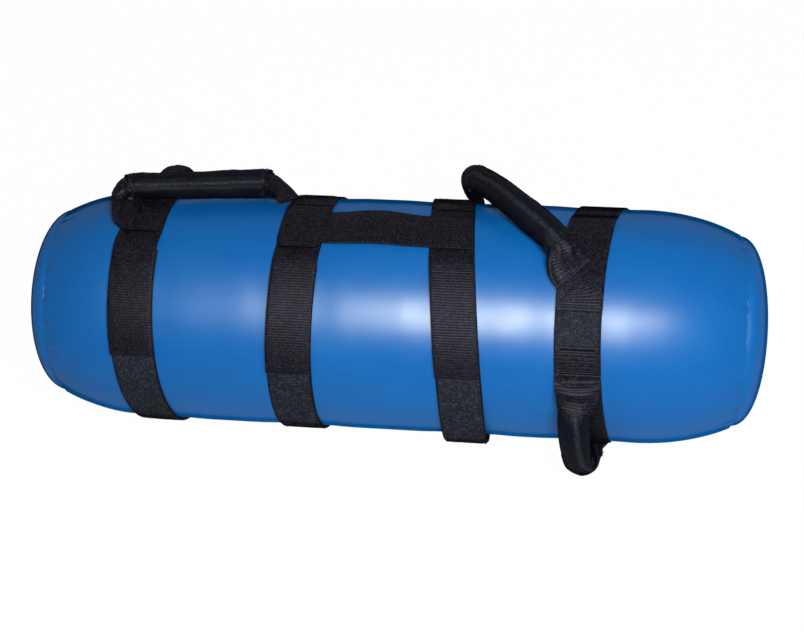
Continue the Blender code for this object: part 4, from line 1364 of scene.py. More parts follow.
def carried_frames(points, first_up, last_up):
    """Side and up directions at each point, carried along the route and evenly twisted to meet its end."""
    tangents = unit_rows(np.gradient(points, axis=0))
    up = Vector(first_up)
    ups = []
    for i, tangent in enumerate(tangents):
        tangent = Vector(tangent)
        if i:
            up = Vector(tangents[i - 1]).rotation_difference(tangent) @ up
        up = (up - tangent * up.dot(tangent)).normalized()
        ups.append(up.copy())
    tangent = Vector(tangents[-1])
    wanted = Vector(last_up)
    wanted -= tangent * wanted.dot(tangent)
    twist = math.atan2(tangent.dot(ups[-1].cross(wanted)), ups[-1].dot(wanted))
    twist = (twist + math.pi / 2) % math.pi - math.pi / 2
    lengths = lengths_of(points)
    sides = []
    turned = []
    for tangent, up, length in zip(tangents, ups, lengths):
        up = Matrix.Rotation(twist * length / lengths[-1], 3, Vector(tangent)) @ up
        turned.append(np.array(up))
        sides.append(np.array(Vector(tangent).cross(up).normalized()))
    return np.array(sides), np.array(turned)


print("rear loop from", REAR_LOOP_START, "to", REAR_LOOP_START + REAR_LOOP_PROFILE[-1][0], "degrees")

# %% [markdown]
# ## The make of each handle
# The four handles are made alike and differ in size, so one class holds what they share. It also knows the
# webbing's middle, side and upper side at any distance along the route, which every later step asks for. On
# the left handle the webbing's width keeps along the round of the bag. On the others it is carried along
# the route, and turned evenly by what its far end needs to lie flat.

# %% The make of each handle
STATIONS = 241
SQUARE_BEFORE_SLEEVE = 0.012


class Handle:
    """A handle's route, the bare webbing at its ends and the shape of its sleeve.

    wide and thick hold the sleeve's width along its strap and its thickness off it, at its start, middle and
    end, as shares of its plain radius. mouths holds how thick its two mouths stay. fans holds the webbing's
    width on the strap and in the mouth, first for the start, then the end. first_up is the webbing's upper
    side at the start. Where it isn't given, the webbing keeps its width along the round of the bag.
    """

    def __init__(self, controls, legs, wide, thick, mouths, fans, first_up=None):
        route = smooth_route([on_bag(*c) for c in controls])
        lengths = lengths_of(route)
        self.length = lengths[-1]
        self.leg_start, self.leg_end = legs
        self.sleeve_length = self.length - self.leg_start - self.leg_end
        self.wide = wide
        self.thick = thick
        self.mouths = mouths
        self.fans = fans
        self.distances = np.linspace(0, self.length, STATIONS)
        self.points = between(self.distances, lengths, route)
        if first_up is None:
            self.sides, self.ups = self.level_frames()
        else:
            self.sides, self.ups = carried_frames(self.points, first_up, outward_at(controls[-1][1]))

    def level_frames(self):
        """Side directions along the round of the bag. In the sleeve they are also square to the route."""
        tangents = unit_rows(np.gradient(self.points, axis=0))
        heights = self.points[:, 2] - AXIS_HEIGHT
        sides = unit_rows(np.stack([0 * heights, heights, -self.points[:, 1]], -1))
        square = sides - tangents * (sides * tangents).sum(axis=1)[:, None]
        before = self.distances - self.leg_start + SQUARE_BEFORE_SLEEVE
        inside = ease(before / SQUARE_BEFORE_SLEEVE)[:, None]
        sides = unit_rows(sides * (1 - inside) + square * inside)
        return sides, unit_rows(np.cross(sides, tangents))

    def station(self, distance):
        """The webbing's middle, its side and up directions. It runs straight on past the ends."""
        point = between(distance, self.distances, self.points)
        if distance < 0:
            point = point + (self.points[1] - self.points[0]) / self.distances[1] * distance
        if distance > self.length:
            ahead = (self.points[-1] - self.points[-2]) / self.distances[1]
            point = point + ahead * (distance - self.length)
        side = between(distance, self.distances, self.sides)
        up = between(distance, self.distances, self.ups)
        return point, unit(side), unit(up)

    def sleeve_station(self, share):
        """The same at a share of the sleeve's length."""
        return self.station(self.leg_start + self.sleeve_length * share)

    def half_sizes(self, share):
        """The sleeve's half width and half thickness at a share of its length, before its mouths draw in."""
        places = [0, 0.5, 1]
        wide = np.interp(share, places, self.wide)
        thick = np.interp(share, places, self.thick)
        return SLEEVE_RADIUS * np.array([wide, thick])


print("stations on a route", STATIONS)

# %% The four handles
HANDLES = {
    "left_carry_handle": Handle(
        LEFT_CARRY_ROUTE,
        legs=(0.0600, 0.036),
        wide=(1.0, 1.05, 1.12),
        thick=(1.02, 1.10, 1.20),
        mouths=(0.92, 0.97),
        fans=((0.049, 0.030), (0.040, 0.028)),
    ),
    "right_carry_handle": Handle(
        RIGHT_CARRY_ROUTE,
        legs=(0.041, 0.036),
        wide=(1.06, 1.15, 1.17),
        thick=(1.04, 1.13, 1.10),
        mouths=(0.90, 0.85),
        fans=((0.046, 0.032), (0.048, 0.033)),
        first_up=(0, 1, 0),
    ),
    "front_loop_handle": Handle(
        FRONT_LOOP_ROUTE,
        legs=(0.037, 0.028),
        wide=(1.16, 1.20, 1.10),
        thick=(0.95, 1.0, 0.95),
        mouths=(0.66, 0.80),
        fans=((0.049, 0.032), (0.044, 0.026)),
        first_up=outward_at(FRONT_LOOP_ROUTE[0][1]),
    ),
    "rear_loop_handle": Handle(
        rear_loop_route(),
        legs=(0.030, 0.026),
        wide=(1.0, 1.0, 1.0),
        thick=(0.95, 1.0, 0.95),
        mouths=(0.66, 0.66),
        fans=((0.046, 0.028), (0.044, 0.024)),
        first_up=outward_at(REAR_LOOP_START),
    ),
}
for label, handle in HANDLES.items():
    print(label, round(handle.length * 1000), "mm of webbing")

# %% [markdown]
# ## The sleeves
# A sleeve is a tube of cloth with one seam along it. The seam stands up as a ridge, with a shallow valley
# on each side. Cloth over foam is never quite round: it has slow bulges and fine wrinkles, and it gathers
# in pleats where the mouth is drawn round the webbing. The rings below carry all of these, so that the
# outline shows them too, which a bump in the material wouldn't do.

# %% The shape of a sleeve
SLEEVE_SIDES = 64
MOUTH_LENGTH = 0.016
# How many pleats go round a mouth, how far the handle's own seed turns them, and their depth
PLEATS = ((9, 1, 0.05), (17, 2, 0.03))
# How quickly bulges follow each other along the sleeve and round it, and their height
BULGES = ((38, 1.4, 1.3), (150, 2.2, 0.5))
WRINKLE = 0.0007
SEAM_HEIGHT = 0.0011
SEAM_HALF_WIDTH = 0.0016
SEAM_FACES = np.array([0.10, -0.64, 0.76])
VALLEY_DEPTH = 0.45
VALLEY_PLACE = 0.0034
VALLEY_HALF_WIDTH = 0.0012


def seam_angle(side, up):
    """Where the seam lies round the sleeve, so that it faces the front and up."""
    return math.atan2(SEAM_FACES @ up, SEAM_FACES @ side)


def wrinkle_at(distance, angle, seed):
    """How far the cloth stands out in slow bulges and fine wrinkles, in shares of their plain height."""
    height = 0.0
    for along, around, share in BULGES:
        spot = Vector((distance * along + seed, around * math.cos(angle), around * math.sin(angle)))
        height += noise.noise(spot) * share
    return height


def sleeve_ring(handle, share, seed, grow=0.0):
    """One ring of the sleeve's cloth, with its place on the weave map."""
    distance = handle.sleeve_length * share
    point, side, up = handle.sleeve_station(share)
    angles = full_turn(SLEEVE_SIDES)
    from_end = min(distance, handle.sleeve_length - distance)
    opened = float(ease(from_end / MOUTH_LENGTH))
    wide, thick = handle.half_sizes(share)
    mouth = handle.mouths[0] if share < 0.5 else handle.mouths[1]
    thick *= mouth + (1 - mouth) * opened
    pleats = sum(depth * (1 - opened) * np.sin(count * angles + turn * seed) for count, turn, depth in PLEATS)
    radius = 1 + pleats + grow / SLEEVE_RADIUS
    for k, angle in enumerate(angles):
        radius[k] += WRINKLE / SLEEVE_RADIUS * wrinkle_at(distance, angle, seed)
    away = (angles - seam_angle(side, up) + math.pi) % (2 * math.pi) - math.pi
    across = away * SLEEVE_RADIUS
    ridge = np.exp(-((across / SEAM_HALF_WIDTH) ** 2))
    valley = VALLEY_DEPTH * np.exp(-(((np.abs(across) - VALLEY_PLACE) / VALLEY_HALF_WIDTH) ** 2))
    radius = radius + SEAM_HEIGHT / SLEEVE_RADIUS * (ridge - valley) * opened
    offsets = np.outer(radius * wide * np.cos(angles), side) + np.outer(radius * thick * np.sin(angles), up)
    return point + offsets, np.stack([np.full(SLEEVE_SIDES, distance), across], -1)


print("sleeves", [round(handle.sleeve_length * 1000) for handle in HANDLES.values()], "mm long")

# %% Sleeve and foam
SLEEVE_ROWS = 150
MOUTH_TURN_IN = 0.005
TURNED_IN_SIZE = 0.78
FOAM_SIDES = 24
FOAM_ROWS = 30
FOAM_FROM, FOAM_TO = 0.07, 0.93
FOAM_SIZE = 0.70


def make_sleeve(label, handle, seed):
    """The sleeve, with the cloth of its two mouths turned in."""
    turn_in = MOUTH_TURN_IN / handle.sleeve_length
    shares = np.linspace(0, 1, SLEEVE_ROWS)
    shares = np.concatenate([[turn_in, turn_in / 2], shares, [1 - turn_in / 2, 1 - turn_in]])
    rings = []
    weave = []
    for share in shares:
        ring, marks = sleeve_ring(handle, share, seed)
        rings.append(ring)
        weave.append(marks)
    for k in (0, 1, -2, -1):
        middle = rings[k].mean(axis=0)
        rings[k] = middle + (rings[k] - middle) * TURNED_IN_SIZE
    sleeve = ring_object(label + "_sleeve_piece", rings, weave, smooth_angle=SMOOTH_SLEEVE)
    show_as(sleeve, label, "black_sleeve", SLEEVE_FINISH, label + "_sleeve")


def make_core(label, handle):
    """The foam tube round the webbing, hidden in the sleeve."""
    rings = []
    angles = full_turn(FOAM_SIDES)
    for share in np.linspace(FOAM_FROM, FOAM_TO, FOAM_ROWS):
        point, side, up = handle.sleeve_station(share)
        wide, thick = FOAM_SIZE * handle.half_sizes(share)
        rings.append(point + np.outer(wide * np.cos(angles), side) + np.outer(thick * np.sin(angles), up))
    core = ring_object(label + "_foam_piece", rings, smooth_angle=SMOOTH_WEBBING)
    show_as(core, label, "grey_foam", FOAM_FINISH, label + "_foam")


print("sleeve and foam makers ready")

# %% [markdown]
# ## Stitches and loose threads
# A row of stitches runs beside the sleeve's raised seam, and another round each hem. The cloth's edge sheds
# short loose threads at the mouths. Hair particles could make them, but a few tapered rings each, placed by
# random numbers from a fixed seed, come out the same on every run.

# %% Stitches and loose threads of a sleeve
SEAM_STITCHES_FROM, SEAM_STITCHES_TO = 0.05, 0.95
SEAM_STITCH_POINTS = 90
SEAM_STITCH_PLACE = 0.0030
SEAM_STITCH_LIFT = 0.0001
HEM_PLACE = 0.007
HEM_STITCH_LIFT = 0.0002
FRAY_PLACE = 0.004
FRAY_LOOK_AHEAD = 0.02
FRAY_COUNT = 70
FRAY_REACH = (0.0015, 0.0042)
FRAY_AHEAD = (-0.3, 1.0)
FRAY_OUT = (0.1, 0.9)
FRAY_SWAY = 0.5
FRAY_BEND = 0.35
FRAY_SIDES = 4
FRAY_ROWS = 5
FRAY_RADIUS = 0.00016
FRAY_TAPER = 0.6
FRAY_ACROSS = (0.3, 0.5, 0.81)


def sew_sleeve(label, handle, seed):
    """The stitches along the sleeve's seam, and a row round each hem."""
    seam = Seam()
    route = []
    out = []
    for share in np.linspace(SEAM_STITCHES_FROM, SEAM_STITCHES_TO, SEAM_STITCH_POINTS):
        ring, marks = sleeve_ring(handle, share, seed, grow=SEAM_STITCH_LIFT)
        beside = int(np.argmin(np.abs(marks[:, 1] - SEAM_STITCH_PLACE)))
        route.append(ring[beside])
        out.append(unit(ring[beside] - ring.mean(axis=0)))
    seam.run(route, out)
    hem = HEM_PLACE / handle.sleeve_length
    for share in (hem, 1 - hem):
        ring = sleeve_ring(handle, share, seed, grow=HEM_STITCH_LIFT)[0]
        loop = np.concatenate([ring, ring[:1]])
        seam.run(loop, unit_rows(loop - ring.mean(axis=0)))
    seam.sew(label + "_sleeve_stitches", label, "black_sleeve")


def loose_thread(root, aim, sway, reach):
    """Rings of one thin thread that starts at root, bends over and tapers."""
    bend = np.cross(aim, sway)
    turns = full_turn(FRAY_SIDES)
    side = unit(np.cross(aim, FRAY_ACROSS))
    other = np.cross(aim, side)
    rings = []
    for t in np.linspace(0, 1, FRAY_ROWS):
        centre = root + aim * reach * t + bend * reach * FRAY_BEND * t * t
        thin = FRAY_RADIUS * (1 - FRAY_TAPER * t)
        rings.append(centre + thin * (np.outer(np.cos(turns), side) + np.outer(np.sin(turns), other)))
    return rings


def fray(label, handle, seed):
    """Loose thread ends at the sleeve's two mouths."""
    seam = Seam()
    spread = random.Random(seed)
    place = FRAY_PLACE / handle.sleeve_length
    for share, way in ((place, -1), (1 - place, 1)):
        ring = sleeve_ring(handle, share, seed)[0]
        middle = ring.mean(axis=0)
        before = handle.sleeve_station(max(share - FRAY_LOOK_AHEAD, 0))[0]
        after = handle.sleeve_station(min(share + FRAY_LOOK_AHEAD, 1))[0]
        ahead = way * unit(after - before)
        for _ in range(FRAY_COUNT):
            root = ring[spread.randrange(len(ring))]
            sway = np.array([spread.uniform(-1, 1) for _ in range(3)])
            reach = spread.uniform(*FRAY_REACH)
            aim = ahead * spread.uniform(*FRAY_AHEAD) + unit(root - middle) * spread.uniform(*FRAY_OUT)
            seam.stitches.append(loose_thread(root, unit(aim + FRAY_SWAY * sway), sway, reach))
    seam.sew(label + "_frayed_threads", label, "black_sleeve", FRAY_FINISH)


print("loose threads", 2 * FRAY_COUNT, "on each sleeve")

# %% [markdown]
# ## The webbing's fanned ends
# On the strap a handle's webbing is nearly as wide as the strap, and in the sleeve's mouth it is gathered
# to about two thirds of that. Between, it fans out in soft folds. So each ring here changes from a flat
# oblong to a round one, and a wave across it makes the folds. On the two loop handles the upper tab's
# webbing also runs on as a tongue over the mouth.

# %% Fanned ends of the webbing
FAN_POINTS = 44
FLAT_THICKNESS = 0.0019
FOLD_DEPTH = 0.0011
FOLDS = 3
FLAT_SQUARENESS = 0.35
RIB_FADE = 3
INSIDE_SLEEVE = 0.010
FILLS_MOUTH = 0.78
GATHERED_AT = 0.88


def fan_ring(handle, distance, share, widths, mouth_height, row):
    """A ring of the webbing at a distance. share is 0 flat on the strap and 1 in the sleeve's mouth."""
    point, side, up = handle.station(distance)
    strap_width, mouth_width = widths
    gathered = float(ease(share))
    width = strap_width + (mouth_width - strap_width) * gathered
    height = FLAT_THICKNESS + (mouth_height - FLAT_THICKNESS) * gathered
    turns = full_turn(FAN_POINTS)
    squareness = FLAT_SQUARENESS + (1 - FLAT_SQUARENESS) * gathered
    across = width / 2 * np.sign(np.cos(turns)) * np.abs(np.cos(turns)) ** squareness
    lift = height / 2 * np.sign(np.sin(turns)) * np.abs(np.sin(turns)) ** squareness
    folds = FOLD_DEPTH * math.sin(math.pi * share) * np.cos(across / width * 2 * FOLDS * math.pi)
    rib = RIB_RELIEF * (row % 2) * np.clip(RIB_FADE * np.sin(turns), -1, 1)
    offsets = np.outer(across, side) + np.outer(lift + folds + rib, up)
    return point + offsets, np.stack([np.full(FAN_POINTS, row * RIB_PITCH / 2), across], -1)


def make_leg(label, handle, tab_end, mouth_end, widths, part):
    """One end of the handle's webbing, from its tab to inside the sleeve."""
    rows = round(abs(mouth_end - tab_end) / (RIB_PITCH / 2))
    at_end = int(mouth_end < tab_end)
    mouth_height = 2 * FILLS_MOUTH * handle.half_sizes(at_end)[1] * handle.mouths[at_end]
    rings = []
    weave = []
    for row in range(rows + 1):
        share = min(1.0, row / (rows * GATHERED_AT))
        place = tab_end + (mouth_end - tab_end) * row / rows
        ring, marks = fan_ring(handle, place, share, widths, mouth_height, row)
        rings.append(ring)
        weave.append(marks)
    leg = ring_object(f"{label}_webbing_{part}", rings, weave, smooth_angle=SMOOTH_WEBBING)
    show_as(leg, None, "black_webbing", WEBBING_FINISH, label + "_webbing")
    on_strap = handle.station(min(max(tab_end, 0.0), handle.length))[0]
    in_mouth = handle.station(mouth_end)[0]
    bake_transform(leg)


print("fans fold", FOLDS, "times")

# %% Tongues of the two loop handles
TONGUE_THICKNESS = 0.0018
TONGUE_WIDTHS = (0.0495, 0.046)
TONGUE_ROUNDING = 0.018
TONGUE_TIP = 0.03
TONGUE_SAG = 0.003
TONGUE_WRAP = 0.5
TONGUE_OVERLAP = 0.005
TONGUE_POINTS = 40
TONGUE_FLAT = 0.004
TONGUE_GAP = 0.0004
TONGUE_RIDES = 0.86
TONGUE_CLEAR = 0.0016
RIPPLE_HEIGHT = 0.0012
RIPPLE_TURNS = 19
DENT_DEPTH = 0.0016
DENT_SHARE = 0.16
DENT_LENGTH = 0.08
# Where each dent lies across the tongue, and how far it spreads
DENTS = ((-0.009, 0.0065), (0.0145, 0.0035))
NEARLY_FLAT = 1e-3
TAB_BUTT_GAP = 0.2


def dents_at(share, arc):
    """How deep two soft dents near the tongue's root are."""
    along = math.exp(-(((share - DENT_SHARE) / DENT_LENGTH) ** 2))
    return DENT_DEPTH * sum(along * np.exp(-(((arc - spot) / size) ** 2)) for spot, size in DENTS)


def tongue_ring(handle, distance, share, width, row):
    """A ring of the tongue, bent round the sleeve where it lies on it, and its points' places across it."""
    point, side, up = handle.station(distance)
    wide, thick = handle.half_sizes(0)
    wrapped = float(ease((distance - TONGUE_FLAT) / (handle.leg_start - TONGUE_FLAT)))
    bend = TONGUE_WRAP * wrapped / wide
    on_sleeve = TONGUE_RIDES * thick + TONGUE_CLEAR - FLAT_THICKNESS / 2
    rise = FLAT_THICKNESS / 2 + TONGUE_GAP + on_sleeve * wrapped
    rise += RIPPLE_HEIGHT * math.sin(math.pi * share) * math.cos(share * RIPPLE_TURNS)
    arc = np.linspace(-width / 2, width / 2, TONGUE_POINTS)
    across = np.sin(arc * bend) / bend if bend > NEARLY_FLAT else arc
    droop = (1 - np.cos(arc * bend)) / bend if bend > NEARLY_FLAT else 0 * arc
    low = rise - droop - dents_at(share, arc)
    sag = TONGUE_SAG * math.sin(math.pi * share) * (1 - (2 * arc / width) ** 2)
    flat = point + np.outer(sag, np.cross(up, side)) + np.outer(across, side)
    upper = flat + np.outer(low + TONGUE_THICKNESS + RIB_RELIEF * (row % 2), up)
    lower = flat + np.outer(low, up)
    return np.concatenate([upper, lower[::-1]]), np.concatenate([arc, arc[::-1]])


def make_tongue(label, handle):
    """The upper tab's webbing runs on over the sleeve's mouth and ends there in a rounded tongue."""
    last = handle.leg_start + TONGUE_OVERLAP
    first = -math.radians(TAB_BUTT_GAP) * SKIN_RADIUS
    rows = round((last - first) / (RIB_PITCH / 2))
    rings = []
    weave = []
    for row in range(rows + 1):
        share = row / rows
        distance = first + (last - first) * share
        rounding = np.clip((last - distance) / TONGUE_ROUNDING, TONGUE_TIP, 1.0)
        width = TONGUE_WIDTHS[0] + (TONGUE_WIDTHS[1] - TONGUE_WIDTHS[0]) * share
        ring, arcs = tongue_ring(handle, distance, share, width * math.sqrt(1 - (1 - rounding) ** 2), row)
        rings.append(ring)
        weave.append(np.stack([np.full(len(arcs), row * RIB_PITCH / 2), arcs], -1))
    tongue = ring_object(label + "_tongue", rings, weave, smooth_angle=SMOOTH_WEBBING)
    show_as(tongue, None, "black_webbing", WEBBING_FINISH, label + "_webbing")
    on_strap = handle.station(0.0)[0]
    on_sleeve = handle.station(handle.leg_start)[0]
    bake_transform(tongue)


print("tongue", round(TONGUE_WIDTHS[0] * 1000, 1), "mm wide")

# %% Build the handles
SEED_STEP = 3.7

for number, (label, handle) in enumerate(HANDLES.items()):
    is_loop = "loop" in label
    make_sleeve(label, handle, SEED_STEP * number)
    sew_sleeve(label, handle, SEED_STEP * number)
    fray(label, handle, number)
    make_core(label, handle)
    tuck = math.radians(TAB_BUTT_GAP) * SKIN_RADIUS if is_loop else 0.0
    make_leg(label, handle, -tuck, handle.leg_start + INSIDE_SLEEVE, handle.fans[0], "start")
    inner = handle.length - handle.leg_end - INSIDE_SLEEVE
    make_leg(label, handle, handle.length + tuck, inner, handle.fans[1], "end")
    if is_loop:
        make_tongue(label, handle)
    print(label, "built")

# %% [markdown]
# ## Tabs
# A tab is where a handle's webbing is sewn flat on a strap. Its free corners are cut round, since a square
# corner lifts and frays, and a sewn box with a cross holds it. It follows the strap like the other strips,
# with closer rows at its ends for the round corners. The right carry handle ends askew, so one tab is cut
# at a slant.

# %% Tab maker
TAB_CORNER_TRIM = 0.0008
TAB_CORNER_ROWS = 9
TAB_STITCH_INSET = 0.005
TAB_STITCH_SIDE_INSET = 0.006
LEDGE_CLEAR = 2.0
LEDGE_LENGTH = 5.0


def rounded_half_width(half_width, from_end):
    """The tab's half width at a distance from its rounded end."""
    dip = np.clip(CORNER_RADIUS - from_end, 0.0, CORNER_RADIUS)
    return half_width - CORNER_RADIUS + np.sqrt(CORNER_RADIUS**2 - dip**2)


def tab_rows(first, last):
    """Close rows at the rounded ends and rows half a rib apart between."""
    corner = math.degrees(CORNER_RADIUS / SKIN_RADIUS)
    step = 1 if last > first else -1
    rounding = corner * (1 - np.cos(np.linspace(0, math.pi / 2, TAB_CORNER_ROWS)))
    near = first + step * rounding
    far = last - step * rounding[::-1]
    return np.concatenate([near[:-1], rib_rows(near[-1], far[0]), far[1:]])


def make_tab(name, strap, first, last, low=sewn_low, square_end=False):
    """A tab on a strap between two angles. With square_end, only its first end is cut round."""

    def width(angle):
        from_end = abs(angle - first) if square_end else min(abs(angle - first), abs(last - angle))
        from_end = math.radians(from_end) * SKIN_RADIUS
        return 2 * float(rounded_half_width(WEBBING_WIDTH / 2, from_end + TAB_CORNER_TRIM))

    def stitch_lift(strap, angle):
        return low(strap, angle) + WEBBING_THICKNESS + RIB_RELIEF / 2

    tab = strip_on_strap(name + "_piece", strap, tab_rows(first, last), low, WEBBING_THICKNESS, width)
    show_as(tab, "bag", "black_webbing", WEBBING_FINISH, name)
    seam = Seam()
    inset = math.degrees(TAB_STITCH_INSET / SKIN_RADIUS) * (1 if last > first else -1)
    half_width = WEBBING_WIDTH / 2 - TAB_STITCH_SIDE_INSET
    seam.box(strap, stitch_lift, half_width, first + inset, last - inset)
    seam.sew(name + "_stitches", "bag", "black_webbing")


def over_cross_strap_low(strap, angle):
    """Lift of a tab's under side that lies on the cross strap, and behind it comes down to its own strap."""
    plain = sewn_low(strap, angle)
    covered = plain + WEBBING_THICKNESS + SEWN_GAP
    return covered + (plain - covered) * ease((angle - CROSS_STRAP_HIGH - LEDGE_CLEAR) / LEDGE_LENGTH)


print("tab maker ready")

# %% Slanting tab
SLANT_ROWS = 42
SLANT_STITCH_INSET = 0.0035
SLANT_STITCH_TRIM = 0.002
SLANT_STITCH_SHIFT = 0.004
SLANT_STITCH_TOP = 2
SLANT_STITCH_TIP = 3
SLANT_EDGE_TIP = 4


def make_slanting_tab(name, strap, low_angle, high_angle, width_at_top, tip_width):
    """A tab whose webbing crosses its strap at a slant, trimmed to the strap's left edge."""

    def width(angle):
        share = (angle - low_angle) / (high_angle - low_angle)
        return tip_width + (width_at_top - tip_width) * share

    def stitch_lift(strap, angle):
        return sewn_low(strap, angle) + WEBBING_THICKNESS

    rings = []
    weave = []
    for angle in np.linspace(high_angle, low_angle, SLANT_ROWS):
        section = strip_section(width(angle), WEBBING_THICKNESS)
        edge = float(strap_x(strap, angle)) - WEBBING_WIDTH / 2
        x = edge + width(angle) / 2 + section[:, 0]
        rings.append(on_bag(x, angle, float(sewn_low(strap, angle)) + section[:, 1]))
        down = math.radians(high_angle - angle) * SKIN_RADIUS
        right = x - edge
        weave.append(np.stack([(right + down) * math.sqrt(0.5), (right - down) * math.sqrt(0.5)], -1))
    tab = ring_object(name + "_piece", rings, weave, smooth_angle=SMOOTH_WEBBING)
    show_as(tab, "bag", "black_webbing", WEBBING_FINISH, name)
    seam = Seam()
    left = -WEBBING_WIDTH / 2 + SLANT_STITCH_INSET
    right = -WEBBING_WIDTH / 2 + width_at_top - SLANT_STITCH_INSET - SLANT_STITCH_TRIM
    top = high_angle - SLANT_STITCH_TOP
    tip = (left + SLANT_STITCH_SHIFT, low_angle + SLANT_STITCH_TIP)
    for row in (
        [(left, top), (right, top)],
        [(right, top), tip],
        [(left, top), (left, low_angle + SLANT_EDGE_TIP)],
    ):
        seam.on_strap(strap, stitch_lift, row)
    seam.sew(name + "_stitches", "bag", "black_webbing")


print("slanting tab maker ready")

# %% Build the tabs
FRONT_TAB_TOP = 38.0
REAR_TAB_TOP = 115.0
LOWER_TAB_REACH = 13.0
REAR_LOOP_END = REAR_LOOP_START + REAR_LOOP_PROFILE[-1][0]

make_tab("left_carry_handle_tab_left", STRAPS[1], first=86.0, last=113.0)
make_tab("left_carry_handle_tab_right", STRAPS[2], first=79.5, last=127.0, low=over_cross_strap_low)
make_tab("right_carry_handle_tab_left", STRAPS[3], first=112.0, last=141.0)
make_slanting_tab("right_carry_handle_tab_right", STRAPS[4], 58.5, 79.0, width_at_top=0.042, tip_width=0.004)
for label, strap, route_start, route_end, side, top in (
    ("front_loop_handle", STRAPS[4], FRONT_LOOP_ROUTE[0][1], FRONT_LOOP_ROUTE[-1][1], -1, FRONT_TAB_TOP),
    ("rear_loop_handle", STRAPS[1], REAR_LOOP_START, REAR_LOOP_END, 1, REAR_TAB_TOP),
):
    make_tab(label + "_tab_upper", strap, top, route_start - side * TAB_BUTT_GAP, square_end=True)
    lower = route_end + side * TAB_BUTT_GAP
    make_tab(label + "_tab_lower", strap, lower, lower + side * LOWER_TAB_REACH)

# %% [markdown]
# ## The valve and the water
# The valve's body and cap are moulded, its gasket is a plain rubber ring, and the water is as smooth as the
# skin that holds it. The frame's own shapes are true to all four, so they stay and get their finishes here.

# %% Finishes of the moulded parts
for node, material, slot in (
    ("valve_body", PLASTIC_FINISH, "valve_black"),
    ("valve_cap", PLASTIC_FINISH, "valve_black"),
    ("valve_gasket", RUBBER_FINISH, "gasket_rubber"),
    ("water_fill", WATER_FINISH, "water"),
):
    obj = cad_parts[node]
    obj.data.materials.clear()
    obj.data.materials.append(material)
    print(node, "is", material.name)

# %% [markdown]
# ## Camera
# The photograph was taken from high in front of the bag. A camera could be aimed at a point, but this one
# is given by its place and three turns, because its picture also leans a little to one side.

# %% Camera
PICTURE_WIDTH = 804
FOCAL_PIXELS = 1323.4
SENSOR_WIDTH = 36.0
CAMERA_ELEVATION = math.radians(50.0)
CAMERA_OFFSET = 1.23 * SKIN_RADIUS
CAMERA_DISTANCE = 11.58 * SKIN_RADIUS
YAW, PITCH, ROLL = -0.1014, 0.0026, -0.0475


def raised(vector):
    """Turns a direction, given with Y up in the picture and Z to the lens, into the bag's frame."""
    x, y, z = vector
    sine, cosine = math.sin(CAMERA_ELEVATION), math.cos(CAMERA_ELEVATION)
    return Vector((x, y * sine - z * cosine, y * cosine + z * sine))


def make_camera():
    """Three turns from straight ahead, then raised to the height from which the bag is seen."""
    turned = Matrix.Rotation(ROLL, 3, "Z") @ Matrix.Rotation(PITCH, 3, "X") @ Matrix.Rotation(YAW, 3, "Y")
    axes = [raised(turned[i]) for i in range(3)]
    place = raised((CAMERA_OFFSET, 0, CAMERA_DISTANCE)) + Vector((0, 0, AXIS_HEIGHT))
    data = bpy.data.cameras.new("camera")
    data.sensor_width = SENSOR_WIDTH
    data.lens = FOCAL_PIXELS / PICTURE_WIDTH * SENSOR_WIDTH
    camera = bpy.data.objects.new("camera", data)
    bpy.context.scene.collection.objects.link(camera)
    camera.matrix_world = Matrix.Translation(place) @ Matrix(axes).transposed().to_4x4()
    bpy.context.scene.camera = camera
    return camera


camera = make_camera()
print("camera at", [round(v, 3) for v in camera.matrix_world.translation])

# %% [markdown]
# ## Light and floor
# Three lamps stand in front of the bag and above it. The main one gives the light and the shadow. A narrow
# flash and a wide glow behind it are kept out of the diffuse light, so they set the bright streak along the
# skin and the soft sheen round it without more light on the cloth. The white background is the world's own
# colour, as the lens and reflections see it. The floor mixes that white with a pale surface that takes the
# bag's shadow.

# %% Floor and background
ROOM_LIGHT = 0.06
FLOOR_GLOW = 0.99
FLOOR_REACH = 6.0
FLOOR_SHADE = 0.9
FLOOR_ROUGHNESS = 0.9


def shows_background(nodes):
    """1 for a ray that shows the background: straight from the lens, in a reflection or through water."""
    path = nodes.add("ShaderNodeLightPath").outputs
    seen = nodes.math("MAXIMUM", path["Is Camera Ray"], path["Is Transmission Ray"])
    return nodes.math("MAXIMUM", seen, path["Is Glossy Ray"])


def make_world():
    """White where it is seen, and a faint even light from all round."""
    world = bpy.data.worlds.new("studio")
    world.use_nodes = True
    nodes = Nodes(world.node_tree)
    background = world.node_tree.nodes["Background"]
    background.inputs["Color"].default_value = (1, 1, 1, 1)
    strength = nodes.ranged(shows_background(nodes), 0.0, 1.0, ROOM_LIGHT, 1.0)
    nodes.feed(background.inputs["Strength"], strength)
    bpy.context.scene.world = world


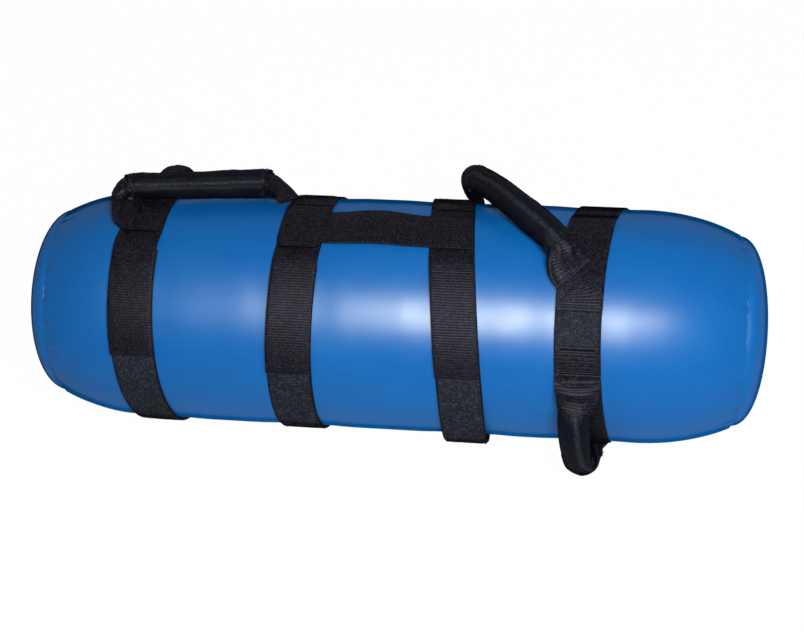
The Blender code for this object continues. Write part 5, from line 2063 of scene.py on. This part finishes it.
def make_floor():
    """A pale floor that takes the shadow, mixed with a white glow for the rays that show the background."""
    mesh = bpy.data.meshes.new("floor")
    corners = [(x * FLOOR_REACH, y * FLOOR_REACH, 0) for x, y in ((-1, -1), (1, -1), (1, 1), (-1, 1))]
    mesh.from_pydata(corners, [], [(0, 1, 2, 3)])
    floor = bpy.data.objects.new("floor", mesh)
    bpy.context.scene.collection.objects.link(floor)
    material = bpy.data.materials.new("pale_floor")
    material.use_nodes = True
    nodes = Nodes(material.node_tree)
    shader = material.node_tree.nodes["Principled BSDF"]
    shader.inputs["Base Color"].default_value = (FLOOR_SHADE, FLOOR_SHADE, FLOOR_SHADE, 1.0)
    shader.inputs["Roughness"].default_value = FLOOR_ROUGHNESS
    shader.inputs["Specular IOR Level"].default_value = 0.0
    glow = nodes.add("ShaderNodeEmission")
    mix = nodes.add("ShaderNodeMixShader")
    nodes.feed(mix.inputs[0], nodes.math("MULTIPLY", shows_background(nodes), FLOOR_GLOW))
    nodes.feed(mix.inputs[1], shader.outputs[0])
    nodes.feed(mix.inputs[2], glow.outputs[0])
    nodes.feed(material.node_tree.nodes["Material Output"].inputs["Surface"], mix.outputs[0])
    mesh.materials.append(material)


make_world()
make_floor()
print("floor and background", bpy.context.scene.world.name)

# %% Lamps
LAMP_AIM = (0.1, 0, 0.13)
WHITE = (1, 1, 1)
FLASH_COLOUR = (1.0, 1.0, 0.85)
LAMPS = {
    "main_light": {"place": (0.36, -0.95, 1.45), "size": (0.5, 0.4), "power": 29.5, "colour": WHITE},
    "flash": {"place": (0.055, -1.00, 1.35), "size": (0.15, 0.78), "power": 115.0, "colour": FLASH_COLOUR},
    "flash_glow": {"place": (0.08, -1.25, 1.70), "size": (2.2, 1.4), "power": 22.0, "colour": FLASH_COLOUR},
}


def add_lamp(name, place, size, power, colour):
    """An oval lamp that looks at the bag's middle. Only the main one lights matt surfaces."""
    data = bpy.data.lights.new(name, "AREA")
    data.shape = "ELLIPSE"
    data.size, data.size_y = size
    data.energy = power
    data.color = colour
    lamp = bpy.data.objects.new(name, data)
    bpy.context.scene.collection.objects.link(lamp)
    lamp.location = place
    lamp.rotation_mode = "QUATERNION"
    lamp.rotation_quaternion = (Vector(LAMP_AIM) - Vector(place)).to_track_quat("-Z", "Y")
    lamp.visible_diffuse = name == "main_light"


for name, values in LAMPS.items():
    add_lamp(name, **values)
bpy.context.scene.view_settings.view_transform = "Standard"
print("lamps", list(LAMPS))
